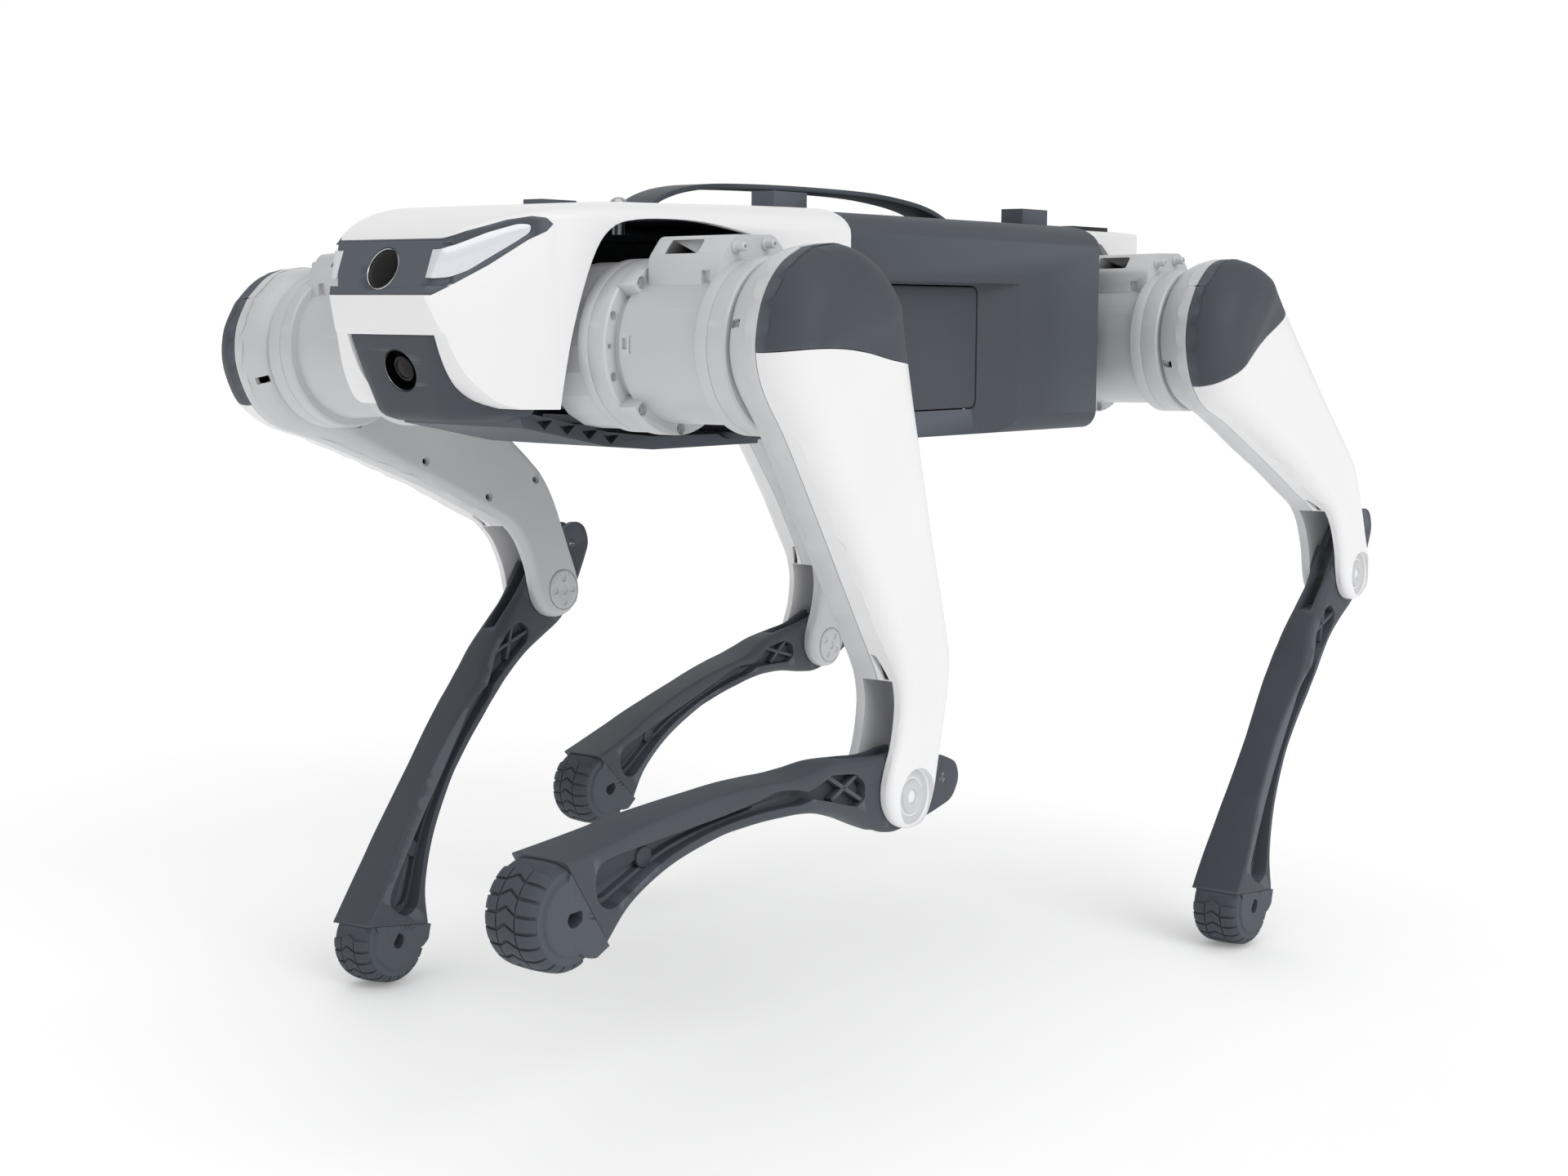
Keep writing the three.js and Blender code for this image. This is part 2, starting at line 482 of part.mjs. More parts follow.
// Half shell: an open channel on one side of the seam. way is -1 for the inner shell, +1 for the outer.
function halfShell(way) {
  const rings = THIGH_STATIONS.map(([w, front, rear]) => {
    const seam = mix(HEAD_SEAM, KNEE_SEAM, (w - 10) / 90) + way * GAP / 2;
    const slope = Math.sqrt(Math.max(0, (w + 5) / 175));
    const depth = way < 0 ? KNEE_HALF : mix(HEAD_DEPTH, KNEE_HALF, slope);
    const crown = way < 0 ? 2.5 : mix(9, 3, w / 160);
    const fork = w > WALL_END;
    const floor = fork ? CHEEK : depth - WALL;
    const inside = w < HEAD_CLOSED ? seam + way * 0.4 : way * floor;
    const rim = fork ? way * (CHEEK - 0.05) : seam;
    const c = Math.min(crown, (front - rear) / 2 - 0.6);
    const t = Math.min(WALL, (front - rear) / 2 - 0.4);
    const shoulder = way * (depth - crown);
    const face = way * depth;
    const points = [[front, rim], [front, shoulder], [front - c, face], [rear + c, face],
      [rear, shoulder], [rear, rim], [rear + t, rim], [rear + t, inside],
      [front - t, inside], [front - t, rim]];
    return points.map(([u, x]) => [x, -u, -w]);
  });
  return loft(rings, ([x, y]) => [x, y]);
}

// The cap covers the outer half of the head down to a line that falls towards the rear.
const capLine = (grow) => slab('x', [[-60, 9 + grow], [-33, 9 + grow], [-10, 2 + grow], [10, -7 + grow],
  [60, -22 + grow], [60, 80], [-60, 80]], -60, 60);

function thighShells() {
  const axleHole = rod('x', 0, -THIGH, AXLE_R + GAP, -20, 20, 12);
  const outer = solid(halfShell(1));
  const cap = outer.intersect(solid(capLine(GAP / 2)));
  const flangeHole = rod('x', 0, 0, 12, -20, 0, 12);
  return {
    inner: shape(cut(solid(halfShell(-1)), axleHole, flangeHole)),
    outer: shape(cut(outer, capLine(-GAP / 2), axleHole)),
    cap: shape(cap),
  };
}

function kneeAxle() {
  const headR = AXLE_R + 5;
  const under = -KNEE_HALF - GAP;
  const profile = [[under - 0.9, 0], [under - 0.9, headR], [under, headR], [under, AXLE_R],
    [KNEE_HALF + 0.8, AXLE_R], [KNEE_HALF + 0.8, 0]];
  return turnedX(profile, 12).translate(0, 0, -THIGH);
}

// Shank: a fork with a lever above the knee, then one tapered beam down to the foot.
// Cross-sections of the beam: [distance down, front edge, rear edge, half width].
const TONGUE = 7.3;               // half width inside the thigh's fork
const SHANK_STATIONS = [[8, 19, -16, TONGUE], [20, 19, -13, TONGUE], [40, 22.5, -3.5, 9.5],
  [62, 23, 4.5, 12], [94, 25, 9.4, 10.5], [125, 26, 9.6, 9.5], [155, 26, 5.5, 10.5], [180, 24, -2, 12.5],
  [193.5, 23.3, -12, FOOT_HALF]];
const seamZ = (y) => 0.56 * y - 201.8;     // shank and foot meet on a line that rises to the rear
function shankBody() {
  const rings = SHANK_STATIONS.map(([w, front, rear, half]) => {
    const c = half * 0.35;
    return [[front, -half + c], [front, half - c], [front - c, half], [rear + c, half], [rear, half - c],
      [rear, c - half], [rear + c, -half], [front - c, -half]].map(([u, x]) => [x, -u, -w]);
  });
  const beam = loft(rings, ([x, y]) => [x, y]);
  const heelEdge = [[13, -190], [-23, -190], [-23, seamZ(-23)], [13, seamZ(13)]];
  const heel = slab('x', heelEdge, -FOOT_HALF, FOOT_HALF);
  const hub = rod('x', 0, 0, 15.5, -TONGUE, TONGUE, 18);
  const lever = rod('x', 0, LEVER, 12, -TONGUE, TONGUE, 14);
  const web = slab('x', [[-15, 0], [15, 0], [11.5, LEVER], [-11.5, LEVER]], -TONGUE, TONGUE);
  const slot = box(-ROD_HALF - 0.5, ROD_HALF + 0.5, -40, 40, -24, 60);
  const pin = rod('x', 0, LEVER, PIN_R, -TONGUE, TONGUE, 8);
  const bore = rod('x', 0, 0, AXLE_R + GAP, -20, 20, 12);
  const fork = cut(join(beam, heel, hub, lever, web), slot, bore);
  return shape(fork.add(solid(pin)));
}

const FOOT_CENTRE = [-1.5, -212];
const SEAM_GAP = 0.39;            // vertical gap that leaves the usual clearance across the sloping seam
function foot() {
  const wheel = rod('x', ...FOOT_CENTRE, FOOT_R, -FOOT_HALF, FOOT_HALF, 28);
  const line = (y) => [y, seamZ(y) - SEAM_GAP];
  return shape(cut(solid(wheel), slab('x', [line(-40), line(40), [40, -150], [-40, -150]], -30, 30)));
}

// Knee drive: rotor behind the cap with a crank pin in the leg plane.
const ROTOR_R = 33;
function kneeDrive() {
  const face = ROD_HALF + 1.2;
  const rotor = turnedX([[face, 0], [face, ROTOR_R], [14, ROTOR_R], [17, ROTOR_R - 5], [17, 0]], 20);
  return shape(join(rotor, rod('x', 0, LEVER, PIN_R, -ROD_HALF, ROD_HALF + 2, 8)));
}

// Push rod between the crank pin and the shank's lever.
const EYE_R = 6.5;
const UPPER_PLAY = 0.6;           // the crank's pin turns free in the upper eye
const LOWER_PLAY = 0.4;
function pushRod() {
  const bar = box(-ROD_HALF, ROD_HALF, -3.2, 3.2, -THIGH, 0);
  const eye = (z) => rod('x', 0, z, EYE_R, -ROD_HALF, ROD_HALF, 12);
  const bore = (z, play) => rod('x', 0, z, PIN_R + play, -9, 9, 8);
  return shape(cut(join(bar, eye(0), eye(-THIGH)), bore(0, UPPER_PLAY), bore(-THIGH, LOWER_PLAY)));
}

const rad = THREE.MathUtils.degToRad;
for (const [name, leg] of Object.entries(LEGS)) {
  const hand = (geometry) => (leg.side > 0 ? geometry : mirrored(geometry));
  const hip = new THREE.Group();
  hip.name = `hip_${name}`;
  hip.position.set(leg.side * HIP_X, leg.end * HIP_Y, 0);
  hip.rotation.y = -leg.side * rad(leg.roll);
  root.add(hip);
  mesh(hip, `hip_carrier_${name}`, hand(hipCarrier(leg.end)), GREY);
  mesh(hip, `hip_motor_${name}`, hand(hipMotor()), GREY);

  const thigh = new THREE.Group();
  thigh.name = `thigh_${name}`;
  thigh.position.x = leg.side * LEG_PLANE;
  thigh.rotation.x = rad(leg.pitch);
  hip.add(thigh);
  const shells = thighShells();
  mesh(thigh, `thigh_inner_${name}`, hand(shells.inner), GREY);
  mesh(thigh, `thigh_outer_${name}`, hand(shells.outer), WHITE);
  mesh(thigh, `thigh_cap_${name}`, hand(shells.cap), SLATE);
  mesh(thigh, `knee_axle_${name}`, hand(kneeAxle()), STEEL);

  const drive = new THREE.Group();
  drive.name = `drive_${name}`;
  drive.rotation.x = -rad(leg.knee);
  thigh.add(drive);
  mesh(drive, `knee_drive_${name}`, hand(kneeDrive()), ALLOY);

  const shank = new THREE.Group();
  shank.name = `shank_${name}`;
  shank.position.z = -THIGH;
  shank.rotation.x = -rad(leg.knee);
  thigh.add(shank);
  mesh(shank, `shank_link_${name}`, hand(shankBody()), SLATE);
  mesh(shank, `foot_${name}`, hand(foot()), RUBBER);

  const link = new THREE.Group();
  link.name = `rod_${name}`;
  const crank = rad(leg.knee);
  link.position.set(0, LEVER * Math.sin(crank), LEVER * Math.cos(crank));
  thigh.add(link);
  mesh(link, `push_rod_${name}`, hand(pushRod()), ALLOY);
}

// ---------------------------------------------------------------- placing on the floor
const group = new THREE.Group();
group.name = 'quadruped';
group.add(root);
group.updateMatrixWorld(true);
const bounds = new THREE.Box3().setFromObject(group, true);
root.position.set(-(bounds.min.x + bounds.max.x) / 2, -(bounds.min.y + bounds.max.y) / 2, -bounds.min.z);
group.updateMatrixWorld(true);

export default group;
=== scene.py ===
"""A quadruped robot dog in mid trot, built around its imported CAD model."""
import json
import math

import bmesh
import bpy
import numpy as np
from mathutils import Matrix, Vector


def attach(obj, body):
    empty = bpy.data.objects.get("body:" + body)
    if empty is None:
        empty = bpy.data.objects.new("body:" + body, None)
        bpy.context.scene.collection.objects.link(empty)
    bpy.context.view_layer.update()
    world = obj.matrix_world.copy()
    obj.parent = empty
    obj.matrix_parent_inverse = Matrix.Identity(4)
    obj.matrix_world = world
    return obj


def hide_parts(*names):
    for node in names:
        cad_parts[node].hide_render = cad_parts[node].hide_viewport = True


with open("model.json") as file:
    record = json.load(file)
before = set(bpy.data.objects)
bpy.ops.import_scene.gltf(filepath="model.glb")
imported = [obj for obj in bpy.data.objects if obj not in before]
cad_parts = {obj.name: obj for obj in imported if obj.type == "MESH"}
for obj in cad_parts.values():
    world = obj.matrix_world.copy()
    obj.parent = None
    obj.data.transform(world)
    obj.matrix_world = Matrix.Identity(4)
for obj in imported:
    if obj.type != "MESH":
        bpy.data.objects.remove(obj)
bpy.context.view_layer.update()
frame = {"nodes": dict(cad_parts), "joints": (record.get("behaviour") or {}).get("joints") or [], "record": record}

MM = 0.001
LEGS = {"fl": (1, -1), "fr": (-1, -1), "rl": (1, 1), "rr": (-1, 1)}
JOINTS = {j["name"]: j for j in frame["joints"]}


def joint_at(name):
    return Vector(JOINTS[name]["pos_m"])


# The torso is laid out in millimetres around the middle of the four hips. LEVER is the shank's arm.
HIP_X, HIP_Y = 60.0, 172.7
LEVER = 30.0
TORSO_AT = joint_at("hip_roll_fl") - Vector((HIP_X, -HIP_Y, 0)) * MM
TORSO = Matrix.Translation(TORSO_AT) @ Matrix.Scale(MM, 4)


def frame_matrix(origin, x_axis, z_axis, side):
    """Millimetre frame of a limb; a right limb is the mirror image of a left one."""
    x = Vector(x_axis).normalized()
    z = Vector(z_axis).normalized()
    y = z.cross(x)
    m = Matrix(((x.x, y.x, z.x, origin.x), (x.y, y.y, z.y, origin.y), (x.z, y.z, z.z, origin.z),
                (0, 0, 0, 1)))
    return m @ Matrix.Diagonal((MM * side, MM, MM, 1))


def limb_frames(leg, side):
    """Hip, thigh and shank frames: +x outwards, -y forwards, -z down the limb."""
    x = Vector(JOINTS[f"hip_pitch_{leg}"]["axis"])
    roll, hip, knee = (joint_at(f"{j}_{leg}") for j in ("hip_roll", "hip_pitch", "knee"))
    lever = joint_at(f"rod_pivot_{leg}")
    return (frame_matrix(roll, x, x.cross(Vector((0, 1, 0))), side),
            frame_matrix(hip, x, hip - knee, side),
            frame_matrix(knee, x, lever - knee, side))


# ------------------------------------------------------------------ materials
def linear(r, g, b):
    return [((v / 255 + 0.055) / 1.055) ** 2.4 if v > 10 else v / 255 / 12.92 for v in (r, g, b)]


def finish_material(name, rgb, rough, metallic=0.0, coat=0.0, grain=900.0, bump=0.02, mottle=0.05, wear=0.0,
                    rough_span=0.08, specular=0.5):
    """Moulded or machined surface: fine grain, slow mottling in colour and gloss, pale worn edges."""
    mat = bpy.data.materials.new(name)
    mat.use_nodes = True
    nodes, links = mat.node_tree.nodes, mat.node_tree.links
    shader = nodes["Principled BSDF"]
    base = linear(*rgb)
    shader.inputs["Metallic"].default_value = metallic
    shader.inputs["Coat Weight"].default_value = coat
    shader.inputs["Coat Roughness"].default_value = 0.12
    shader.inputs["Specular IOR Level"].default_value = specular
    where = nodes.new("ShaderNodeTexCoord")
    slow = nodes.new("ShaderNodeTexNoise")
    slow.inputs["Scale"].default_value = 22.0
    slow.inputs["Detail"].default_value = 5.0
    fine = nodes.new("ShaderNodeTexNoise")
    fine.inputs["Scale"].default_value = grain
    fine.inputs["Detail"].default_value = 3.0
    links.new(where.outputs["Object"], slow.inputs["Vector"])
    links.new(where.outputs["Object"], fine.inputs["Vector"])
    tone = nodes.new("ShaderNodeValToRGB")
    tone.color_ramp.elements[0].position = 0.3
    tone.color_ramp.elements[1].position = 0.72
    tone.color_ramp.elements[0].color = [v * (1 - mottle) for v in base] + [1]
    tone.color_ramp.elements[1].color = [min(1, v * (1 + mottle)) for v in base] + [1]
    links.new(slow.outputs["Fac"], tone.inputs["Fac"])
    colour = tone.outputs["Color"]
    if wear:
        geometry = nodes.new("ShaderNodeNewGeometry")
        edge = nodes.new("ShaderNodeValToRGB")
        edge.color_ramp.elements[0].position = 0.53
        edge.color_ramp.elements[1].position = 0.62
        links.new(geometry.outputs["Pointiness"], edge.inputs["Fac"])
        mix = nodes.new("ShaderNodeMixRGB")
        mix.inputs["Color2"].default_value = [min(1, v * (1 + wear) + 0.02 * wear) for v in base] + [1]
        links.new(edge.outputs["Color"], mix.inputs["Fac"])
        links.new(colour, mix.inputs["Color1"])
        colour = mix.outputs["Color"]
    links.new(colour, shader.inputs["Base Color"])
    gloss = nodes.new("ShaderNodeMapRange")
    gloss.inputs["To Min"].default_value = max(0.02, rough - rough_span)
    gloss.inputs["To Max"].default_value = rough + rough_span
    links.new(slow.outputs["Fac"], gloss.inputs["Value"])
    links.new(gloss.outputs["Result"], shader.inputs["Roughness"])
    relief = nodes.new("ShaderNodeBump")
    relief.inputs["Strength"].default_value = bump
    relief.inputs["Distance"].default_value = 0.0004
    links.new(fine.outputs["Fac"], relief.inputs["Height"])
    links.new(relief.outputs["Normal"], shader.inputs["Normal"])
    return mat


MATERIALS = {
    "white_shell": finish_material("white_shell", (236, 236, 237), 0.38, grain=1500, bump=0.05, mottle=0.012),
    "slate_plastic": finish_material("slate_plastic", (66, 71, 79), 0.58, grain=1600, bump=0.22, mottle=0.05,
                                     wear=0.5, specular=0.4),
    "motor_grey": finish_material("motor_grey", (200, 201, 203), 0.42, metallic=0.1, grain=1400, bump=0.1,
                                  mottle=0.02, wear=0.1),
    "frame_alloy": finish_material("frame_alloy", (88, 90, 94), 0.45, metallic=0.8, grain=700, bump=0.1),
    "lens_black": finish_material("lens_black", (8, 8, 9), 0.22, coat=0.0, grain=300, bump=0.0, mottle=0.0,
                                  rough_span=0.02, specular=0.22),
    "light_panel": finish_material("light_panel", (214, 217, 222), 0.14, coat=0.8, grain=500, bump=0.01,
                                   mottle=0.01, rough_span=0.03),
    "button_steel": finish_material("button_steel", (190, 192, 196), 0.26, metallic=1.0, grain=900,
                                    bump=0.05),
    "foot_rubber": finish_material("foot_rubber", (68, 73, 81), 0.7, grain=1200, bump=0.3, mottle=0.06,
                                   wear=0.25, specular=0.35),
    "seam_black": finish_material("seam_black", (22, 23, 26), 0.6, grain=1200, bump=0.1),
}


def paint(obj, name):
    obj.data.materials.clear()
    obj.data.materials.append(MATERIALS[name])


def soften(obj, width, segments=2, angle=32.0):
    """Rounds the hard edges and shades the rest smooth."""
    bevel = obj.modifiers.new("edge", "BEVEL")
    bevel.width = width * MM
    bevel.segments = segments
    bevel.limit_method = "ANGLE"
    bevel.angle_limit = math.radians(angle)
    bevel.use_clamp_overlap = True
    smooth_shading(obj)


def smooth_shading(obj, angle=34.0):
    obj.data.polygons.foreach_set("use_smooth", [True] * len(obj.data.polygons))
    with bpy.context.temp_override(object=obj, active_object=obj, selected_editable_objects=[obj]):
        bpy.ops.object.shade_auto_smooth(angle=math.radians(angle))


for subpart in frame["record"]["subparts"]:
    node = frame["nodes"][subpart["node"]]
    paint(node, subpart["material_slot"])
    soften(node, 0.8)


# ------------------------------------------------------------------ mesh helpers
def make_object(name, bm):
    mesh = bpy.data.meshes.new(name)
    bmesh.ops.recalc_face_normals(bm, faces=bm.faces)
    bm.to_mesh(mesh)
    bm.free()
    obj = bpy.data.objects.new(name, mesh)
    bpy.context.scene.collection.objects.link(obj)
    return obj


def loft(rings, caps=True):
    bm = bmesh.new()
    grid = [[bm.verts.new(p) for p in ring] for ring in rings]
    for a, b in zip(grid, grid[1:]):
        for i in range(len(a)):
            j = (i + 1) % len(a)
            bm.faces.new((a[i], a[j], b[j], b[i]))
    if caps:
        bm.faces.new(grid[0][::-1])
        bm.faces.new(grid[-1])
    return bm


def prism(outline, axis, lo, hi):
    """Outline in the two other axes, from lo to hi along the named one (x: y, z; y: x, z; z: x, y)."""
    put = {"x": lambda a, b, h: (h, a, b),
           "y": lambda a, b, h: (a, h, b),
           "z": lambda a, b, h: (a, b, h)}[axis]
    return loft([[put(a, b, lo) for a, b in outline], [put(a, b, hi) for a, b in outline]])


def lathe(profile, segments=48, centre=(0, 0)):
    """Round body about an X axis through centre (y, z), from (x, radius) pairs; radius 0 closes an end."""
    bm = bmesh.new()
    rings = []
    for x, r in profile:
        if r < 1e-6:
            rings.append([bm.verts.new((x, centre[0], centre[1]))])
        else:
            rings.append([bm.verts.new((x, centre[0] + r * math.cos(2 * math.pi * i / segments),
                                        centre[1] + r * math.sin(2 * math.pi * i / segments)))
                          for i in range(segments)])
    for a, b in zip(rings, rings[1:]):
        for i in range(segments):
            j = (i + 1) % segments
            if len(a) == 1:
                bm.faces.new((a[0], b[j], b[i]))
            elif len(b) == 1:
                bm.faces.new((a[i], a[j], b[0]))
            else:
                bm.faces.new((a[i], a[j], b[j], b[i]))
    if profile[0] == profile[-1]:
        bmesh.ops.remove_doubles(bm, verts=bm.verts, dist=1e-5)
    return bm


def merged(*parts):
    total = parts[0]
    for part in parts[1:]:
        mesh = bpy.data.meshes.new("part")
        part.to_mesh(mesh)
        total.from_mesh(mesh)
        part.free()
        bpy.data.meshes.remove(mesh)
    return total


def combine(obj, tool, how="DIFFERENCE"):
    """Boolean of obj with a tool bmesh, applied at once."""
    helper = make_object("helper", tool)
    modifier = obj.modifiers.new("boolean", "BOOLEAN")
    modifier.operation = how
    modifier.solver = "EXACT"
    modifier.use_self = how == "DIFFERENCE"
    modifier.object = helper
    bpy.context.view_layer.update()
    result = bpy.data.meshes.new_from_object(obj.evaluated_get(bpy.context.evaluated_depsgraph_get()))
    obj.modifiers.clear()
    obj.data = result
    bpy.data.objects.remove(helper)
    return obj


def duplicate(obj, name):
    copy = bpy.data.objects.new(name, obj.data.copy())
    bpy.context.scene.collection.objects.link(copy)
    return copy


def circle(a, b, r, n=32):
    return [(a + r * math.cos(2 * math.pi * i / n), b + r * math.sin(2 * math.pi * i / n)) for i in range(n)]


def smooth_line(points, steps=8, closed=False):
    """Catmull-Rom curve through the points."""
    n = len(points)
    spans = n if closed else n - 1
    pick = (lambda i: points[i % n]) if closed else (lambda i: points[min(max(i, 0), n - 1)])
    line = []
    for i in range(spans):
        p0, p1, p2, p3 = (Vector(pick(i + k)) for k in (-1, 0, 1, 2))
        for s in range(steps):
            t = s / steps
            line.append(tuple(0.5 * (2 * p1 + (p2 - p0) * t + (2 * p0 - 5 * p1 + 4 * p2 - p3) * t ** 2
                                     + (3 * p1 - p0 - 3 * p2 + p3) * t ** 3)))
    return line if closed else line + [tuple(points[-1])]


def rounded(points, radius, steps=4):
    """Polygon with each corner cut to an arc-like curve."""
    line = []
    n = len(points)
    for i in range(n):
        here, before, after = Vector(points[i]), Vector(points[i - 1]), Vector(points[(i + 1) % n])
        a, b = before - here, after - here
        cut = min(radius, a.length * 0.45, b.length * 0.45)
        start, end = here + a.normalized() * cut, here + b.normalized() * cut
        for s in range(steps + 1):
            t = s / steps
            line.append(tuple(start * (1 - t) ** 2 + here * 2 * t * (1 - t) + end * t ** 2))
    return line


def widened(points, amount):
    """Outline pushed out from its own middle."""
    cy, cz = (sum(p[k] for p in points) / len(points) for k in (0, 1))
    grown = []
    for y, z in points:
        r = math.hypot(y - cy, z - cz)
        grown.append((y + (y - cy) * amount / r, z + (z - cz) * amount / r))
    return grown


def place(template, name, matrix, body, slot, *nodes, material=None, edge=0.35, segments=2):
    """A copy of a template in its limb's frame, riding on its body."""
    mesh = template.data.copy()
    mesh.transform(matrix)
    if matrix.determinant() < 0:
        mesh.flip_normals()
    obj = bpy.data.objects.new(name, mesh)
    bpy.context.scene.collection.objects.link(obj)
    paint(obj, material or slot)
    if edge:
        soften(obj, edge, segments)
    else:
        smooth_shading(obj)
    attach(obj, body)
    if nodes:
        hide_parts(*nodes)
    return obj


# ------------------------------------------------------------------ thigh
# Outline of the thigh, (forward, down) from the hip axis, front edge then rear edge.
FRONT_EDGE = [(0, -41.5), (15.5, -38.5), (29, -29.5), (38, -15.5), (40.8, -3), (38.8, 10), (30.5, 30), (19, 64),
              (7.5, 100), (0.8, 125), (-4.2, 143), (-5.3, 153), (-3.2, 163), (3.5, 176), (10.5, 184.5),
              (15.2, 192), (16.3, 200), (13, 208), (6, 214), (-2.5, 216.3)]
REAR_EDGE = [(0, -41.5), (-15.5, -38.8), (-27.5, -31.5), (-36, -21), (-41.5, -8), (-43.4, 4), (-44, 20),
             (-44.2, 50), (-44.2, 100), (-44.3, 135), (-43, 152), (-38.5, 166), (-31, 180), (-23, 193.5),
             (-16, 205.5), (-9, 213.5), (-2.5, 216.3)]
CAP_EDGE = [(-60, 22), (-43, 20), (-24, 13), (-4, 3.5), (16, -4), (36, -9), (60, -10)]
THIGH_TOP, THIGH_END = -41.42, 216.22
HEAD_SEAM, HEAD_DEPTH, KNEE_HALF, SHELL_WALL = 4.5, 28.0, 14.5, 2.6
FORK_START, CHEEK = 150.0, 7.9
SEAM_GAP = 0.2
KNEE_AT = (1, -202)


def table(points):
    """Dense (down, forward) lists of an edge for interpolation."""
    line = smooth_line(points, 24)
    downs, forwards = [line[0][1]], [line[0][0]]
    for u, w in line[1:]:
        if w > downs[-1]:
            downs.append(w)
            forwards.append(u)
    return downs, forwards


def lookup(pair, w):
    return float(np.interp(w, pair[0], pair[1]))


FRONT_TABLE, REAR_TABLE = table(FRONT_EDGE), table(REAR_EDGE)
OUTLINE = np.array(smooth_line(FRONT_EDGE, 24) + smooth_line(REAR_EDGE, 24))


def blend_value(a, b, t):
    return a + (b - a) * min(1.0, max(0.0, t))


def seam_x(w):
    return blend_value(HEAD_SEAM, 0.0, (w - 10) / 90)


def crown(u, w, way):
    """How far the half shell's outer face stands from the leg plane at a point of its outline."""
    d = float(np.sqrt(((OUTLINE - (u, w)) ** 2).sum(1).min()))
    if way > 0:
        depth = blend_value(HEAD_DEPTH, KNEE_HALF, math.sqrt(max(0.0, (w + 5) / 175)))
        radius = float(np.interp(w, (-40, 10, 60, 130, 200), (21, 19, 13, 9, 5.5)))
        wall = float(np.interp(w, (-40, 10, 60, 150), (2.5, 2.5, 3, 8.5)))
    else:
        depth = KNEE_HALF
        radius = float(np.interp(w, (-40, 20, 70), (9, 8, 4)))
        wall = float(np.interp(w, (-40, 20, 60, 150), (1.5, 2, 5, 9)))
    base = max(way * seam_x(w) + wall, CHEEK + 2 if w > FORK_START - 1 else -50)
    t = min(1.0, d / radius)
    return way * (base + (depth - base) * math.sqrt(max(0.0, 1 - (1 - t) ** 2)))


def cosine_steps(n):
    return [0.5 - 0.5 * math.cos(math.pi * i / n) for i in range(n + 1)]


def half_shell(way):
    """Half shell on one side of the seam, from the top of the head down to the knee."""
    downs = [THIGH_TOP + (THIGH_END - THIGH_TOP) * t for t in cosine_steps(72)]
    downs = sorted(downs + [FORK_START - 0.02, FORK_START + 0.02])
    rings = []
    for w in downs:
        front, rear = lookup(FRONT_TABLE, w), lookup(REAR_TABLE, w)
        rim = way * (CHEEK - 0.05) if w > FORK_START else seam_x(w) + way * SEAM_GAP
        outer = [(crown(u, w, way), -u, -w) for u in (front + (rear - front) * s for s in cosine_steps(34))]
        thin = max(0.05, min(SHELL_WALL, (front - rear) / 2 - 0.3))
        inner = []
        for s in (0.0, 0.02, 0.15, 0.5, 0.85, 0.98, 1.0):
            u = (rear + thin) * (1 - s) + (front - thin) * s
            wall = max(way * crown(u, w, way) - SHELL_WALL, way * seam_x(w) + 0.4)
            deep = CHEEK if w > FORK_START else wall
            inner.append((way * deep if 0 < s < 1 else rim, -u, -w))
        rings.append([(rim, -front, -w)] + outer + [(rim, -rear, -w)] + inner)
    return loft(rings)


def thigh_templates():
    line = [(-u, -w) for u, w in smooth_line(CAP_EDGE, 8)]
    corners = [(line[-1][0], 60), (line[0][0], 60)]
    above = lambda gap: prism([(y, z + gap) for y, z in line] + corners, "x", 0, 60)
    outer = make_object("outer", half_shell(1))
    cap = combine(duplicate(outer, "cap"), above(SEAM_GAP), "INTERSECT")
    combine(outer, above(-SEAM_GAP))
    inner = make_object("inner", half_shell(-1))
    slot = [(0.8, -136.5), (3.4, -137.5), (6.6, -149.6), (3.6, -149.6)]
    combine(outer, prism(slot, "y", 1, 8.5))
    # Black plug at the back of the slot: painted shade standing in for the dark hollow behind the cut.
    slot_shade_plug = make_object("slot_shade_plug", prism(widened(slot, -0.15), "y", 6.4, 8.6))
    combine(outer, lathe([(KNEE_HALF - 3.6, 0), (KNEE_HALF - 3.6, 12.2), (KNEE_HALF - 3, 12.8),
                          (KNEE_HALF + 6, 12.8), (KNEE_HALF + 6, 0)], 48, KNEE_AT))
    holes = [lathe([(-KNEE_HALF - 5, 0), (-KNEE_HALF - 5, 2.5), (-KNEE_HALF + 1, 2.5), (-KNEE_HALF + 1, 1.6),
                    (-KNEE_HALF + 5, 1.6), (-KNEE_HALF + 5, 0)], 20, (-u, -w))
             for u, w in ((15.9, 36), (4, 82), (-8, 128), (-36.5, 150))]
    groove = lathe([(-KNEE_HALF + 0.8, 10.6), (-KNEE_HALF + 0.8, 11.2), (-KNEE_HALF - 4, 11.2),
                    (-KNEE_HALF - 4, 10.6), (-KNEE_HALF + 0.8, 10.6)], 48, KNEE_AT)
    notch = prism([(-3.4, -6), (3.4, -6), (3.4, 6), (-3.4, 6)], "y", -1.7, 1.7)
    turn = Matrix.Rotation(math.radians(-30), 4, "X") @ Matrix.Rotation(math.radians(90), 4, "X")
    bmesh.ops.transform(notch, matrix=Matrix.Translation((-8.8, -35.5, 20.5)) @ turn, verts=notch.verts)
    combine(inner, merged(*holes, groove, notch))
    return cap, outer, inner, slot_shade_plug


